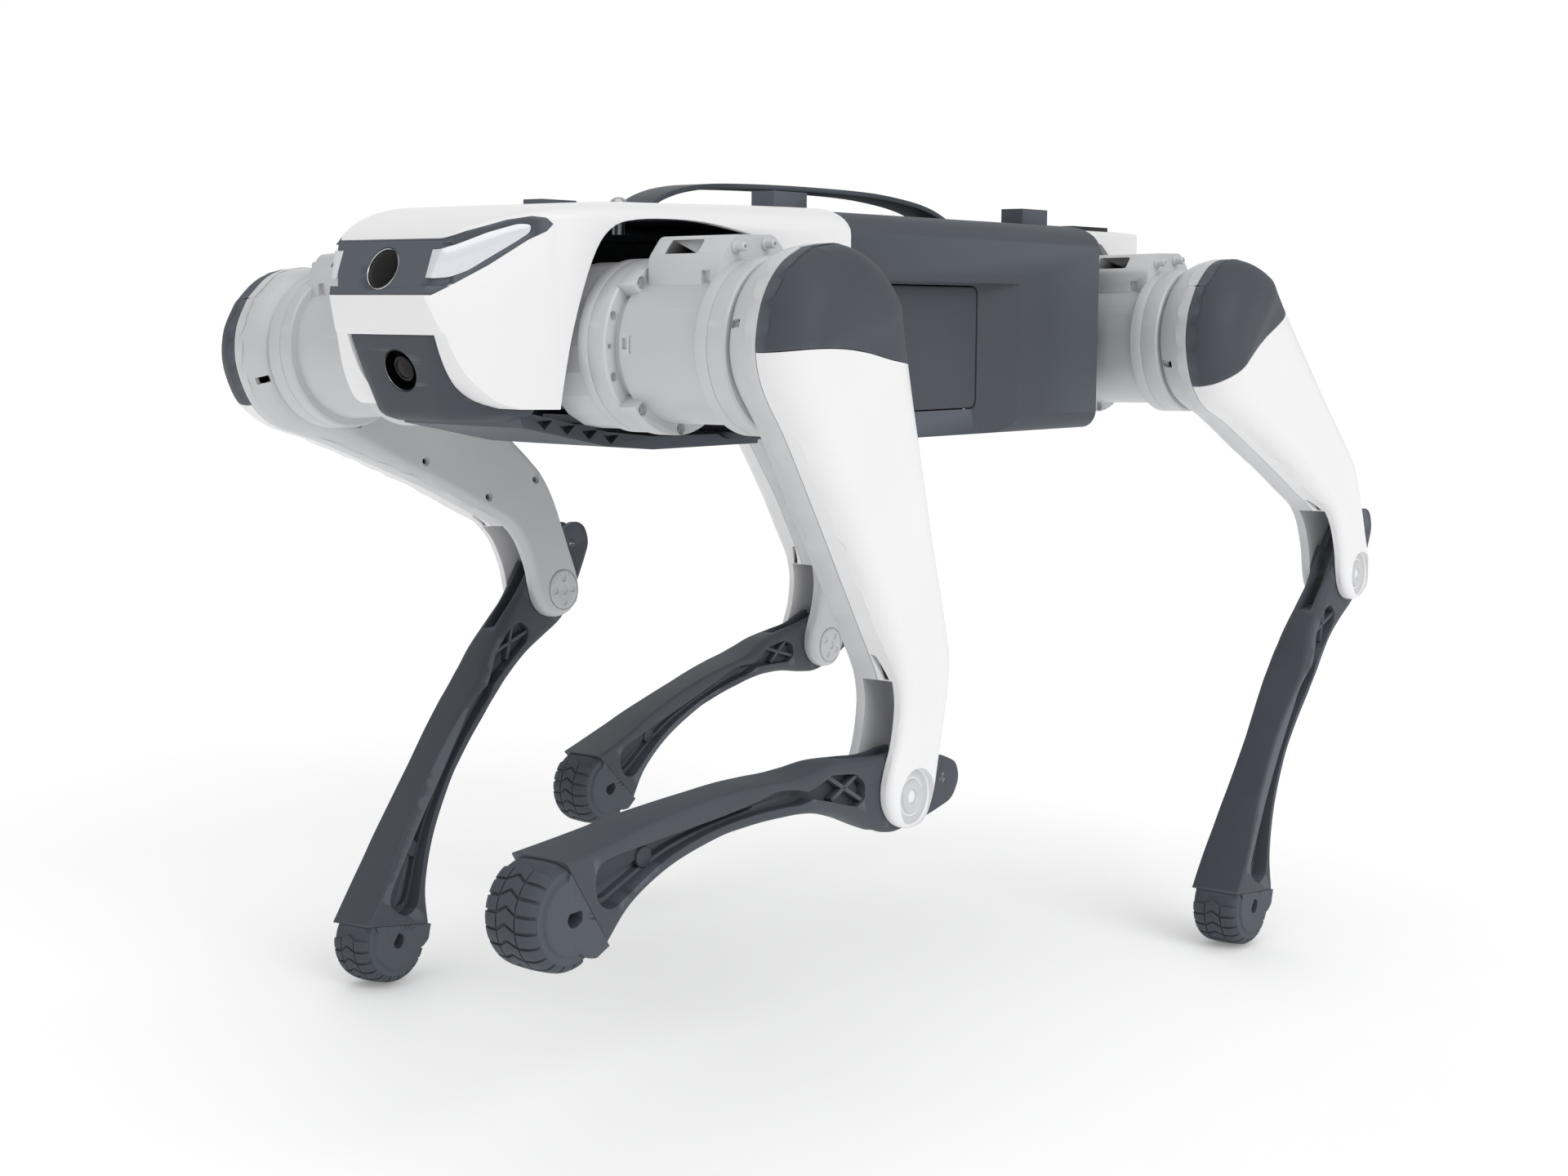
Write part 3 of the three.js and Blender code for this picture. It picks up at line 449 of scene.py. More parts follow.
def knee_templates():
    """Outer bolt in its recess, and the inner disc with its ring of countersunk screws."""
    bolt = lathe([(KNEE_HALF - 6.4, 0), (KNEE_HALF - 6.4, 12), (KNEE_HALF - 3.5, 12), (KNEE_HALF - 3.5, 8.6),
                  (KNEE_HALF - 4.1, 8.2), (KNEE_HALF - 2.9, 7.5), (KNEE_HALF - 2.4, 7), (KNEE_HALF - 2.4, 3.6),
                  (KNEE_HALF - 3.4, 2.7), (KNEE_HALF - 5.4, 2.4), (KNEE_HALF - 5.4, 0)], 48, KNEE_AT)
    plate = make_object("plate", lathe([(-KNEE_HALF + 4, 0), (-KNEE_HALF + 4, 10.4), (-KNEE_HALF - 0.1, 10.4),
                                        (-KNEE_HALF - 0.5, 10), (-KNEE_HALF - 0.5, 0)], 48, KNEE_AT))
    y, z = KNEE_AT
    spots = [(y, z, 1.9)] + [(y + 6.4 * math.cos(a), z + 6.4 * math.sin(a), 1.3)
                             for a in (math.radians(q) for q in (40, 130, 220, 310))]
    holes = [lathe([(-KNEE_HALF - 3, 0), (-KNEE_HALF - 3, r + 0.9), (-KNEE_HALF - 0.4, r + 0.7),
                    (-KNEE_HALF + 0.6, r), (-KNEE_HALF + 2.6, r), (-KNEE_HALF + 2.6, 0)], 20, (y, z))
             for y, z, r in spots]
    combine(plate, merged(*holes))
    return make_object("bolt", bolt), plate


# ------------------------------------------------------------------ shank and foot
FORK_HALF, SLOT_HALF, KNEE_EYE_R = 7.3, 3.6, 15.7
# Edges (forward, down) and half width (width, down) of the shank from the knee axis.
SHANK_FRONT = [(18.6, -6), (18.8, 12), (21.6, 32), (23.6, 50), (23, 66), (23.2, 78), (25.4, 104), (26, 125),
               (26, 144), (25.4, 165), (24, 182), (23, 200), (22.6, 222)]
SHANK_REAR = [(-15.6, -6), (-16.2, 8), (-12.4, 20), (-3.3, 39), (3.9, 59.5), (7.8, 76), (9.6, 94), (10, 110),
              (9.6, 125), (5.7, 155), (-2.2, 180), (-12.9, 195), (-22, 206), (-28, 222)]
SHANK_HALF = [(FORK_HALF, -6), (FORK_HALF, 12), (7.9, 26), (9.3, 44), (11.2, 60), (11.8, 70), (10.8, 90),
              (9.8, 110), (9.5, 128), (10.4, 152), (12, 174), (13.4, 190), (14, 204), (14, 222)]
SEAM_SLOPE, SEAM_LEVEL = 0.56, -201.8
FOOT_CENTRE = (-1.5, -212.0)
FOOT_HALF, TYRE_R, TREAD_R = 14.0, 20.4, 21.45


def seam_side(bm, keep_above, gap):
    """Trims a body at the sloping line between shank and foot."""
    normal = Vector((0, -SEAM_SLOPE, 1))
    cut = bmesh.ops.bisect_plane(bm, geom=bm.verts[:] + bm.edges[:] + bm.faces[:], dist=1e-5,
                                 plane_co=(0, 0, SEAM_LEVEL + gap), plane_no=normal,
                                 clear_inner=keep_above, clear_outer=not keep_above)
    edges = [e for e in cut["geom_cut"] if isinstance(e, bmesh.types.BMEdge)]
    bmesh.ops.holes_fill(bm, edges=edges, sides=0)
    return bm


def both_sides(build):
    return merged(build(1), build(-1))


def shank_template():
    front, rear, half = table(SHANK_FRONT), table(SHANK_REAR), table(SHANK_HALF)
    rings = []
    for i in range(77):
        w = -6 + 3 * i
        u0, u1, h = lookup(front, w), lookup(rear, w), lookup(half, w)
        fold = float(np.interp(w, (4, 22, 62, 85), (1.6, 5.5, 5.5, 1.6)))
        section = rounded([(u0, -h), (u0, h), (u1, h), (u1, -h)], fold, 4)
        rings.append([(x, -u, -w) for u, x in section])
    shank = make_object("shank", seam_side(loft(rings), True, 0))
    combine(shank, prism(circle(0, 0, KNEE_EYE_R, 40), "x", -FORK_HALF, FORK_HALF), "UNION")
    lever = rounded([(-16, -2), (16, -2), (14, 20), (11, 37.5), (2.8, 43.4), (-5, 41.4), (-11.6, 28)], 7, 5)
    combine(shank, prism(lever, "x", -FORK_HALF, FORK_HALF), "UNION")
    window = rounded([(-19.2, -52), (-15.6, -34), (-10, -27.2), (-3, -28), (-1.2, -34), (-9.6, -58),
                      (-15.6, -77)], 2.4)
    pocket = smooth_line([(-20.4, -88), (-19.2, -100), (-17.8, -122), (-17.8, -145), (-18.2, -170),
                          (-18.6, -190), (-16.5, -197.6), (-12, -199.6), (-6, -199.4), (-1.4, -196.4),
                          (0.6, -190), (-2.4, -180), (-7.6, -164), (-11.2, -147), (-13.4, -125), (-13.9, -105),
                          (-13.2, -88), (-12, -74), (-13.6, -66), (-17.6, -74)], 4, closed=True)
    channel = smooth_line([(-16.2, -100), (-16.2, -125), (-15, -146), (-12.4, -164), (-8.4, -182), (-6.4, -192),
                           (-4.4, -194.6), (-2.2, -192.4), (-1.8, -187), (-4.6, -178), (-9.2, -163),
                           (-12.8, -146), (-14.7, -125), (-15.2, -105)], 4, closed=True)
    tools = [both_sides(lambda s: prism(window, "x", *sorted((s * 3.4, s * 20)))),
             both_sides(lambda s: prism(pocket, "x", *sorted((s * 5.4, s * 20)))),
             both_sides(lambda s: prism(channel, "x", *sorted((s * 2.2, s * 6))))]
    for tool in tools:
        combine(shank, tool)
    slot = [(-60, 60), (30, 60), (30, -12), (-2, -24), (-12, -30), (-30, -46), (-60, -46)]
    combine(shank, prism(slot, "x", -SLOT_HALF, SLOT_HALF))
    combine(shank, prism(circle(0, 0, 5.3, 24), "x", -20, 20))
    bars = []
    for s in (1, -1):
        for a, b in (((-18.8, -53), (-3, -29)), ((-7.6, -50), (-15, -31))):
            a, b = Vector(a), Vector(b)
            side = (b - a).orthogonal().normalized() * 0.9
            strip = [tuple(a - side), tuple(b - side), tuple(b + side), tuple(a + side)]
            bars.append(prism(strip, "x", *sorted((s * 3.2, s * 7.4))))
        disc = [(s * 5.0, 0), (s * 5.0, 4.2), (s * 6.0, 4.2), (s * 6.4, 3.8), (s * 6.4, 0)]
        bars.append(lathe(disc, 28, (-11.5, -165)))
    ribs = make_object("ribs", merged(*bars))
    pin = [(-FORK_HALF, 0), (-FORK_HALF, 2.5), (FORK_HALF, 2.5), (FORK_HALF, 0)]
    pins = make_object("pins", lathe(pin, 16, (0, LEVER)))
    return shank, ribs, pins


def tyre_radius(x, top):
    """Rounded shoulders on a slightly crowned tread."""
    shoulder = 5.5
    edge = max(0.0, abs(x) - (FOOT_HALF - shoulder))
    drop = shoulder - math.sqrt(max(0.0, shoulder ** 2 - edge ** 2))
    return top - 0.012 * x * x * 0.5 - drop


def tread_block(x0, x1, angle, pitch, bend):
    """One raised block of rubber between x0 and x1; bend swings it into a chevron."""
    n = 6

    def at(x, share, lift):
        swing = bend * (1 - min(1.0, abs(x) / 4.6))
        a = angle + pitch * (share - 0.5) + swing
        r = tyre_radius(x, TYRE_R) + lift
        return (x, FOOT_CENTRE[0] - r * math.cos(a), FOOT_CENTRE[1] + r * math.sin(a))

    xs = [x0 + (x1 - x0) * i / n for i in range(n + 1)]
    shares = (0.0, 0.5, 1.0)
    bm = bmesh.new()
    high = [[bm.verts.new(at(x, s, TREAD_R - TYRE_R)) for s in shares] for x in xs]
    low = [[bm.verts.new(at(x, s, -0.5)) for s in shares] for x in xs]
    for i in range(n):
        for k in range(2):
            bm.faces.new((high[i][k], high[i][k + 1], high[i + 1][k + 1], high[i + 1][k]))
            bm.faces.new((low[i][k], low[i + 1][k], low[i + 1][k + 1], low[i][k + 1]))
        bm.faces.new((high[i][0], high[i + 1][0], low[i + 1][0], low[i][0]))
        bm.faces.new((high[i][2], low[i][2], low[i + 1][2], high[i + 1][2]))
    for k in range(2):
        bm.faces.new((high[0][k], low[0][k], low[0][k + 1], high[0][k + 1]))
        bm.faces.new((high[n][k], high[n][k + 1], low[n][k + 1], low[n][k]))
    return bm


def foot_templates():
    reach = FOOT_HALF - 1.1
    profile = [(-FOOT_HALF, 0), (-FOOT_HALF, 13.9), (-reach, 14.7)]
    profile += [(reach * (2 * t - 1), tyre_radius(reach * (2 * t - 1), TYRE_R)) for t in cosine_steps(22)]
    profile += [(reach, 14.7), (FOOT_HALF, 13.9), (FOOT_HALF, 0)]
    sole = make_object("sole", seam_side(lathe(profile, 72, FOOT_CENTRE), False, -0.3))
    neck = [(-22, -210), (-15, -214), (11, -212), (15.4, -206), (16.6, -201.5), (14.6, -196.6), (13, -192),
            (10, -188), (-22, -188)]
    collar = seam_side(prism(rounded(neck, 1.0, 2), "x", -FOOT_HALF, FOOT_HALF), False, -0.3)
    combine(sole, collar, "UNION")
    d_hole = rounded([(-3.4, -207.6), (-3.4, -214.4), (-0.8, -215.6), (2.0, -214), (2.4, -211),
                      (0.6, -207.6)], 1.0, 3)
    combine(sole, both_sides(lambda s: prism(d_hole, "x", *sorted((s * 7.5, s * 20)))))
    blocks = []
    count = 21
    pitch = 2 * math.pi / count
    for i in range(count):
        angle = pitch * i
        rise = math.sin(angle) * TYRE_R + FOOT_CENTRE[1]
        along = FOOT_CENTRE[0] - TYRE_R * math.cos(angle)
        if rise > SEAM_SLOPE * along + SEAM_LEVEL - 9 or (along > 5 and rise > SEAM_LEVEL - 6):
            continue
        blocks.append(tread_block(-4.3, 4.3, angle, pitch * 0.8, pitch * 0.42))
        for s in (1, -1):
            blocks.append(tread_block(*sorted((s * 5.0, s * 12.7)), angle, pitch * 0.8, 0))
    return sole, make_object("tread", merged(*blocks))


# ------------------------------------------------------------------ hip motor
def sector(y, z, inner, outer, start, end, n=24):
    arc = lambda r, a, b: [(y + r * math.cos(a + (b - a) * i / n), z + r * math.sin(a + (b - a) * i / n))
                           for i in range(n + 1)]
    a, b = math.radians(start), math.radians(end)
    return arc(outer, a, b) + arc(inner, b, a)


def polar(r, degrees):
    """Point at a radius, counted from straight ahead and upwards."""
    a = math.radians(180 - degrees)
    return r * math.cos(a), r * math.sin(a)


def motor_templates():
    """Motor with a seamed ring at each end, its screwed flange, the connector cover and two stubs."""
    ring = lambda a, b, seam: [(a + 0.9, 37.2), (seam - 0.2, 37.2), (seam - 0.1, 36.8), (seam + 0.1, 36.8),
                               (seam + 0.2, 37.2), (b - 0.9, 37.2)]
    profile = [(0.6, 0), (0.6, 36.3)] + ring(0.6, 16.7, 7.2)
    profile += [(16.7, 36.4), (16.7, 30.4), (20.4, 30.4), (20.4, 32.3), (21.2, 33), (65.4, 33), (65.4, 36.3)]
    profile += ring(65.4, 81.8, 72.5) + [(81.8, 36.3), (81.8, 0)]
    body = make_object("motor", lathe(profile, 96))
    flange = make_object("flange", merged(prism(sector(0, 0, 31, 38, 22, 138), "x", 16.2, 25.3),
                                          prism(sector(0, 0, 31, 38, -138, -22), "x", 16.2, 25.3)))
    bores = [lathe([(20, 0), (20, 1.5), (22.6, 1.5), (22.6, 2.6), (40, 2.6), (40, 0)], 20, polar(35, a))
             for a in (49, 92, 135, -49, -92, -135)]
    combine(flange, merged(*bores))
    spots = [(14, 2.0, a) for a in (22, -22)] + [(14, 1.1, 0)]
    drills = [lathe([(x, 0), (x, r), (18, r), (18, 0)], 20, polar(33.9, a)) for x, r, a in spots]
    combine(body, merged(*drills))
    catch = merged(prism([(-36, -1.2), (-31.4, -1.2), (-31.4, 3.4), (-36, 3.4)], "x", 22.5, 25.2),
                   prism([(-36, -2.8), (-32.2, -2.8), (-32.2, 4.6), (-36, 4.6)], "x", 26.4, 27.4))
    combine(body, catch)
    roof = rounded([(-21.5, 24), (-21.5, 36.5), (-13.5, 45.6), (12.5, 46.2), (21, 38.5), (21, 24)], 2.2, 3)
    cover = make_object("cover", prism(roof, "x", 27.5, 67.5))
    lean = math.atan2(45.6 - 36.5, 8.0)
    panel = prism(rounded([(-9, -3.6), (9, -3.6), (9, 3.6), (-9, 3.6)], 1, 2), "z", -0.9, 4)
    bmesh.ops.transform(panel, matrix=Matrix.Translation((44, -17.5, 41.05)) @ Matrix.Rotation(lean, 4, "X"),
                        verts=panel.verts)
    keyhole = prism([(-26, 20), (-19, 20), (-19, 31), (-26, 31)], "x", 56.5, 61.0)
    combine(cover, panel)
    combine(cover, keyhole)
    tube = [(67, 0), (67, 2.6), (68.6, 2.6), (68.8, 1.9), (72.6, 1.9), (73, 1.5), (73, 0.7), (71, 0.7),
            (71, 0)]
    stubs = [lathe(tube, 20, centre) for centre in ((-12.8, 40.6), (6.5, 42.2))]
    return body, flange, cover, make_object("stubs", merged(*stubs))


# ------------------------------------------------------------------ legs
cap, outer, inner, slot_shade_plug = thigh_templates()
bolt, plate = knee_templates()
shank, ribs, pins = shank_template()
sole, tread = foot_templates()
motor, flange, cover, stubs = motor_templates()
for leg, (side, end) in LEGS.items():
    hip_at, thigh_at, shank_at = limb_frames(leg, side)
    hip_body, thigh_body, shank_body = f"hip_{leg}", f"thigh_{leg}", f"shank_{leg}"
    place(motor, f"pitch_motor_{leg}", hip_at, hip_body, "motor_grey", f"hip_motor_{leg}")
    place(flange, f"motor_flange_{leg}", hip_at, hip_body, "motor_grey")
    place(cover, f"connector_cover_{leg}", hip_at, hip_body, "motor_grey", edge=0.7)
    place(stubs, f"cover_stubs_{leg}", hip_at, hip_body, "motor_grey", edge=0.15)
    place(cap, f"cap_{leg}", thigh_at, thigh_body, "slate_plastic", f"thigh_cap_{leg}", edge=0)
    place(outer, f"outer_shell_{leg}", thigh_at, thigh_body, "white_shell", f"thigh_outer_{leg}", edge=0)
    place(inner, f"inner_shell_{leg}", thigh_at, thigh_body, "motor_grey", f"thigh_inner_{leg}", edge=0)
    # Painted shade: a black plug in the thigh slot, where the hollow behind it would fall dark.
    place(slot_shade_plug, f"slot_painted_shade_{leg}", thigh_at, thigh_body, "slate_plastic", material="seam_black", edge=0)
    place(bolt, f"knee_bolt_{leg}", thigh_at, thigh_body, "motor_grey", f"knee_axle_{leg}", edge=0.15)
    place(plate, f"knee_plate_{leg}", thigh_at, thigh_body, "motor_grey", edge=0.15)
    place(shank, f"shank_beam_{leg}", shank_at, shank_body, "slate_plastic", f"shank_link_{leg}", edge=0.5)
    place(ribs, f"shank_ribs_{leg}", shank_at, shank_body, "slate_plastic", edge=0.2)
    place(pins, f"lever_pin_{leg}", shank_at, shank_body, "button_steel", edge=0.1)
    place(sole, f"foot_sole_{leg}", shank_at, shank_body, "foot_rubber", f"foot_{leg}", edge=0.3)
    place(tread, f"foot_tread_{leg}", shank_at, shank_body, "foot_rubber", edge=0.2)
for template in (cap, outer, inner, slot_shade_plug, bolt, plate, shank, ribs, pins, sole, tread,
                 motor, flange, cover, stubs):
    bpy.data.objects.remove(template)


# ------------------------------------------------------------------ head
NOSE, HEAD_REAR, ROOF, BODY_HALF = -267.0, -84.3, 61.5, 110.0
# Half width and length (x, y) of the head from above; the other lines are side views (y, z).
HEAD_PLAN = [(29, NOSE), (43, -243.5), (56, -221), (63, -208), (70, -188), (77, -168), (88, -148), (100, -128),
             (107, -110), (110, -95), (BODY_HALF, HEAD_REAR)]
ROOF_LINE = [(-258.5, 43.6), (-250, 48.5), (-235, 54), (-215, 58.5), (-190, 61), (-150, ROOF),
             (HEAD_REAR, ROOF)]
CHIN_LINE = [(-261, 6.3), (-259.2, 4.4), (-256.4, -3), (-252.3, -11), (-247, -17.6), (-240, -23.4),
             (-232, -26.3)]
FRONT_ARCH = [(-218.5, -50), (-217, -26), (-211.8, 8.2), (-204, 36), (-196, 49), (-184, 53.4), (-160, 53.8),
              (-142, 50), (-128, 44.5), (-121, 36), (-119, 20), (-119, -50)]
VISOR = [(NOSE - 3, 20.9), (-264, 20.9), (-257.8, 24.4), (-243.5, 33.4), (-229, 43.8), (-222, 47.5),
         (-219.5, 50.5), (-222, 53), (-227, 53.6), (-236.3, 51.8), (-250.5, 47), (-259, 43.4), (NOSE - 3, 43.4)]
WINDOW = [(-265.4, 27.4), (-257.7, 28), (-250.7, 30.9), (-243.5, 35.9), (-233, 43.2), (-228, 47),
          (-227.4, 50.2), (-232, 50.6), (-243.4, 46.8), (-254, 42), (-260.5, 39.4), (-264, 37), (-265.2, 33.5)]
WALL, FAR, CHIN_TOP = 2.8, 80.0, 4.1
# Cameras: y, z and upward tilt in degrees.
UPPER_CAMERA, LOWER_CAMERA = (-262, 31.5, 21.6), (-253, -10.5, -20.4)
PAD_X, PAD_Y, PAD_GAP = (66, 79), ((-101, -77), (104, 128)), 0.3
BUTTON_Y = -118.0


def curve_at(points, key, value):
    line = sorted((p[key], p[1 - key]) for p in points)
    return float(np.interp(value, [a for a, _ in line], [b for _, b in line]))


def hood(inset, rear):
    """Closed body under the roof line and inside the plan, its roof edges rounder towards the rear."""
    plan = HEAD_PLAN[:1] + smooth_line(HEAD_PLAN[1:], 4)
    roof = smooth_line(ROOF_LINE, 4)
    rings = []
    count = 62
    for i in range(count + 1):
        y = NOSE + inset + (rear - NOSE - inset) * i / count
        half = curve_at(plan, 1, y) - inset
        top = curve_at(roof, 0, y) - inset
        wide = float(np.interp(y, (-267, -240, -215, -170, -120), (3, 6, 10, 18, 22)))
        tall = float(np.interp(y, (-267, -240, -215, -170, -120), (2, 3, 5.5, 9.5, 12)))
        arc = [(half - wide + wide * math.sin(t), top - tall + tall * math.cos(t))
               for t in (math.pi / 2 * k / 8 for k in range(9))]
        right = arc + [(half, -70)]
        rings.append([(-x, y, z) for x, z in right[::-1]] + [(x, y, z) for x, z in right])
    return loft(rings)


def as_tool(obj):
    bm = bmesh.new()
    bm.from_mesh(obj.data)
    bpy.data.objects.remove(obj)
    return bm


def head_body(inset):
    """The head as one solid; with an inset it is the hollow, which breaks out below and behind."""
    reach = 12 * inset
    rear = HEAD_REAR + reach
    side = [(NOSE + inset, 20.7)] + [(y + inset, z) for y, z in smooth_line(CHIN_LINE, 3)]
    side += [(-206, -26.5 - reach), (rear, -44 - reach), (rear, 75), (-251, 75), (-258.5 + inset, 43.6)]
    body = make_object("body", hood(inset, rear))
    return combine(body, prism(side, "x", -FAR * 2, FAR * 2), "INTERSECT")


def layer(wall):
    return combine(head_body(0), as_tool(head_body(wall)))


def facing(camera):
    """Turns an X-axis lathe towards the way a camera looks."""
    y, z, tilt = camera
    n = Vector((0, -math.cos(math.radians(tilt)), math.sin(math.radians(tilt))))
    a = Vector((1, 0, 0))
    b = n.cross(a)
    return Matrix(((n.x, a.x, b.x, 0), (n.y, a.y, b.y, y), (n.z, a.z, b.z, z), (0, 0, 0, 1)))


def barrel(camera, profile, segments=48):
    bm = lathe(profile, segments)
    bmesh.ops.transform(bm, matrix=facing(camera), verts=bm.verts)
    return bm


def drum(camera, r, back, ahead):
    return barrel(camera, [(-back, 0), (-back, r), (ahead, r), (ahead, 0)])


def arch(points, side):
    return prism(smooth_line(points, 4), "x", *sorted((side * 40, side * 125)))


def chin_template():
    rings = []
    for i in range(25):
        z = CHIN_TOP - 36.5 * i / 24
        low = max(0.0, -27.4 - z)
        tuck = 5 - math.sqrt(max(0.0, 25 - low ** 2))
        front = float(np.interp(z, (-31, -13, CHIN_TOP), (-247.3, -253, -259))) + tuck
        half = float(np.interp(z, (-31, -13, CHIN_TOP), (19.5, 24, 26.4))) - tuck
        rear = float(np.interp(z, (-33, -29, -16, 20), (34, 44, 52, 54))) - tuck
        plan = [(half, front), (half + (rear - half) * 0.55, -236), (rear, -216)]
        plan += [(-x, y) for x, y in plan[::-1]]
        rings.append([(x, y, z) for x, y in rounded(plan, 6, 5)])
    chin = make_object("chin", loft(rings))
    gap = 0.3
    below = [(NOSE - 20, CHIN_TOP), (-259.6, CHIN_TOP)]
    below += [(y - gap, z - gap) for y, z in smooth_line(CHIN_LINE[2:], 3)]
    below += [(-200, -26.8), (-200, -60), (NOSE - 20, -60)]
    keep = make_object("keep", prism(below, "x", -FAR, FAR))
    middle = [(NOSE - 20, CHIN_TOP), (-249, CHIN_TOP), (-236, -26), (-236, -60), (NOSE - 20, -60)]
    combine(keep, prism(middle, "x", -26.6, 26.6), "UNION")
    combine(chin, as_tool(keep), "INTERSECT")
    combine(chin, prism([(-246, 20), (-243, -27), (-232, -28.6), (-190, -28.6), (-190, 20)], "x", -21, 21))
    return combine(chin, drum(LOWER_CAMERA, 9.6, 30, 20))


def head_pieces():
    shell = layer(WALL)
    combine(shell, prism(widened(VISOR, 0.2), "x", -FAR, FAR))
    for side in (1, -1):
        combine(shell, arch(FRONT_ARCH, side))
    combine(shell, prism([(NOSE - 20, 4.4), (-248.7, 4.4), (-235.7, -26), (-235.7, -60), (NOSE - 20, -60)],
                         "x", -26.9, 26.9))
    near, far = PAD_X[0] - PAD_GAP, PAD_X[1] + PAD_GAP
    start, end = PAD_Y[0][0] - PAD_GAP, PAD_Y[0][1] + 5
    pads = [prism([(s * near, start), (s * far, start), (s * far, end), (s * near, end)], "z", 50, 80)
            for s in (1, -1)]
    combine(shell, merged(*pads))
    visor = combine(layer(6.0), prism(VISOR, "x", -FAR, FAR), "INTERSECT")
    opening = prism(rounded(widened(WINDOW, -0.15), 2.2), "x", 27.6, FAR)
    pane = combine(duplicate(visor, "pane"), opening, "INTERSECT")
    window = rounded(widened(WINDOW, 0.15), 2.2)
    for lo, hi in ((27.4, FAR), (-FAR, -27.4)):
        combine(visor, prism(window, "x", lo, hi))
    for s in (1, -1):
        wedge = [(s * 22.5, NOSE - 2), (s * 22.5, NOSE), (s * 31, -260.5), (s * 33.5, -256), (s * 45, -256),
                 (s * 45, NOSE - 2)]
        combine(visor, prism(wedge, "z", 24.5, 42.2))
    combine(visor, drum(UPPER_CAMERA, 9.5, 20, 20))
    mirror = Matrix.Diagonal((-1, 1, 1, 1))
    at = TORSO
    place(shell, "head_hood", at, "torso", "white_shell", "head_shell", edge=1.3, segments=3)
    place(visor, "visor_band", at, "torso", "slate_plastic", "face_visor", edge=0.5)
    place(pane, "light_pane_left", at, "torso", "light_panel", "light_left", edge=0.4)
    place(pane, "light_pane_right", at @ mirror, "torso", "light_panel", "light_right", edge=0.4)
    chin = chin_template()
    place(chin, "chin_tray", at, "torso", "slate_plastic", "chin_guard", edge=1.0, segments=3)
    lens = [(-9, 0), (-9, 8.7), (0.1, 8.7), (0.5, 8.2), (0.8, 6), (1.0, 3), (1.05, 0)]
    glass = make_object("glass", barrel(UPPER_CAMERA, lens))
    bezel = [(-4, 8.75), (0.5, 8.75), (0.8, 9.0), (0.5, 9.35), (-4, 9.35), (-4, 8.75)]
    ring = make_object("ring", barrel(UPPER_CAMERA, bezel))
    well = [(-11, 0), (-11, 9.3), (0.4, 9.3), (0.4, 8.9), (-6, 8.6), (-6, 5.9)]
    well += [(-1.4, 5.7), (-1.2, 5.3), (-1.2, 4.4), (-1.6, 4.2), (-1.3, 2), (-1.2, 0)]
    cup = make_object("cup", barrel(LOWER_CAMERA, well))
    bezel = [(-3, 9.32), (0.3, 9.32), (0.5, 9.45), (0.3, 9.58), (-3, 9.58), (-3, 9.32)]
    rim = make_object("rim", barrel(LOWER_CAMERA, bezel))
    place(glass, "upper_lens", at, "torso", "lens_black", "upper_camera", edge=0)
    place(ring, "upper_bezel", at, "torso", "button_steel", edge=0)
    place(cup, "lower_lens", at, "torso", "lens_black", "lower_camera", edge=0)
    place(rim, "lower_bezel", at, "torso", "button_steel", edge=0)
    for template in (shell, visor, pane, chin, glass, ring, cup, rim):
        bpy.data.objects.remove(template)


head_pieces()


# ------------------------------------------------------------------ saddle, battery and roof fittings
SADDLE_Y, SADDLE_TOP, SADDLE_BOTTOM, RECESS_X = (-84, 130), 60.5, -44.0, 101.0
BATTERY_Y, BATTERY_Z = (-64, 31), (-31.5, 28.2)


def saddle_ring(half, top, bottom, radius):
    quarter = [math.pi / 2 * k / 8 for k in range(9)]
    wide, tall = 22 * half / BODY_HALF, 12.0
    right = [(half - wide + wide * math.sin(t), top - tall + tall * math.cos(t)) for t in quarter]
    right += [(half - radius + radius * math.cos(t), bottom + radius - radius * math.sin(t)) for t in quarter]
    return right + [(-x, z) for x, z in right[::-1]]


def rectangle(ys, zs, grow):
    return [(ys[0] - grow, zs[0] - grow), (ys[1] + grow, zs[0] - grow), (ys[1] + grow, zs[1] + grow),
            (ys[0] - grow, zs[1] + grow)]


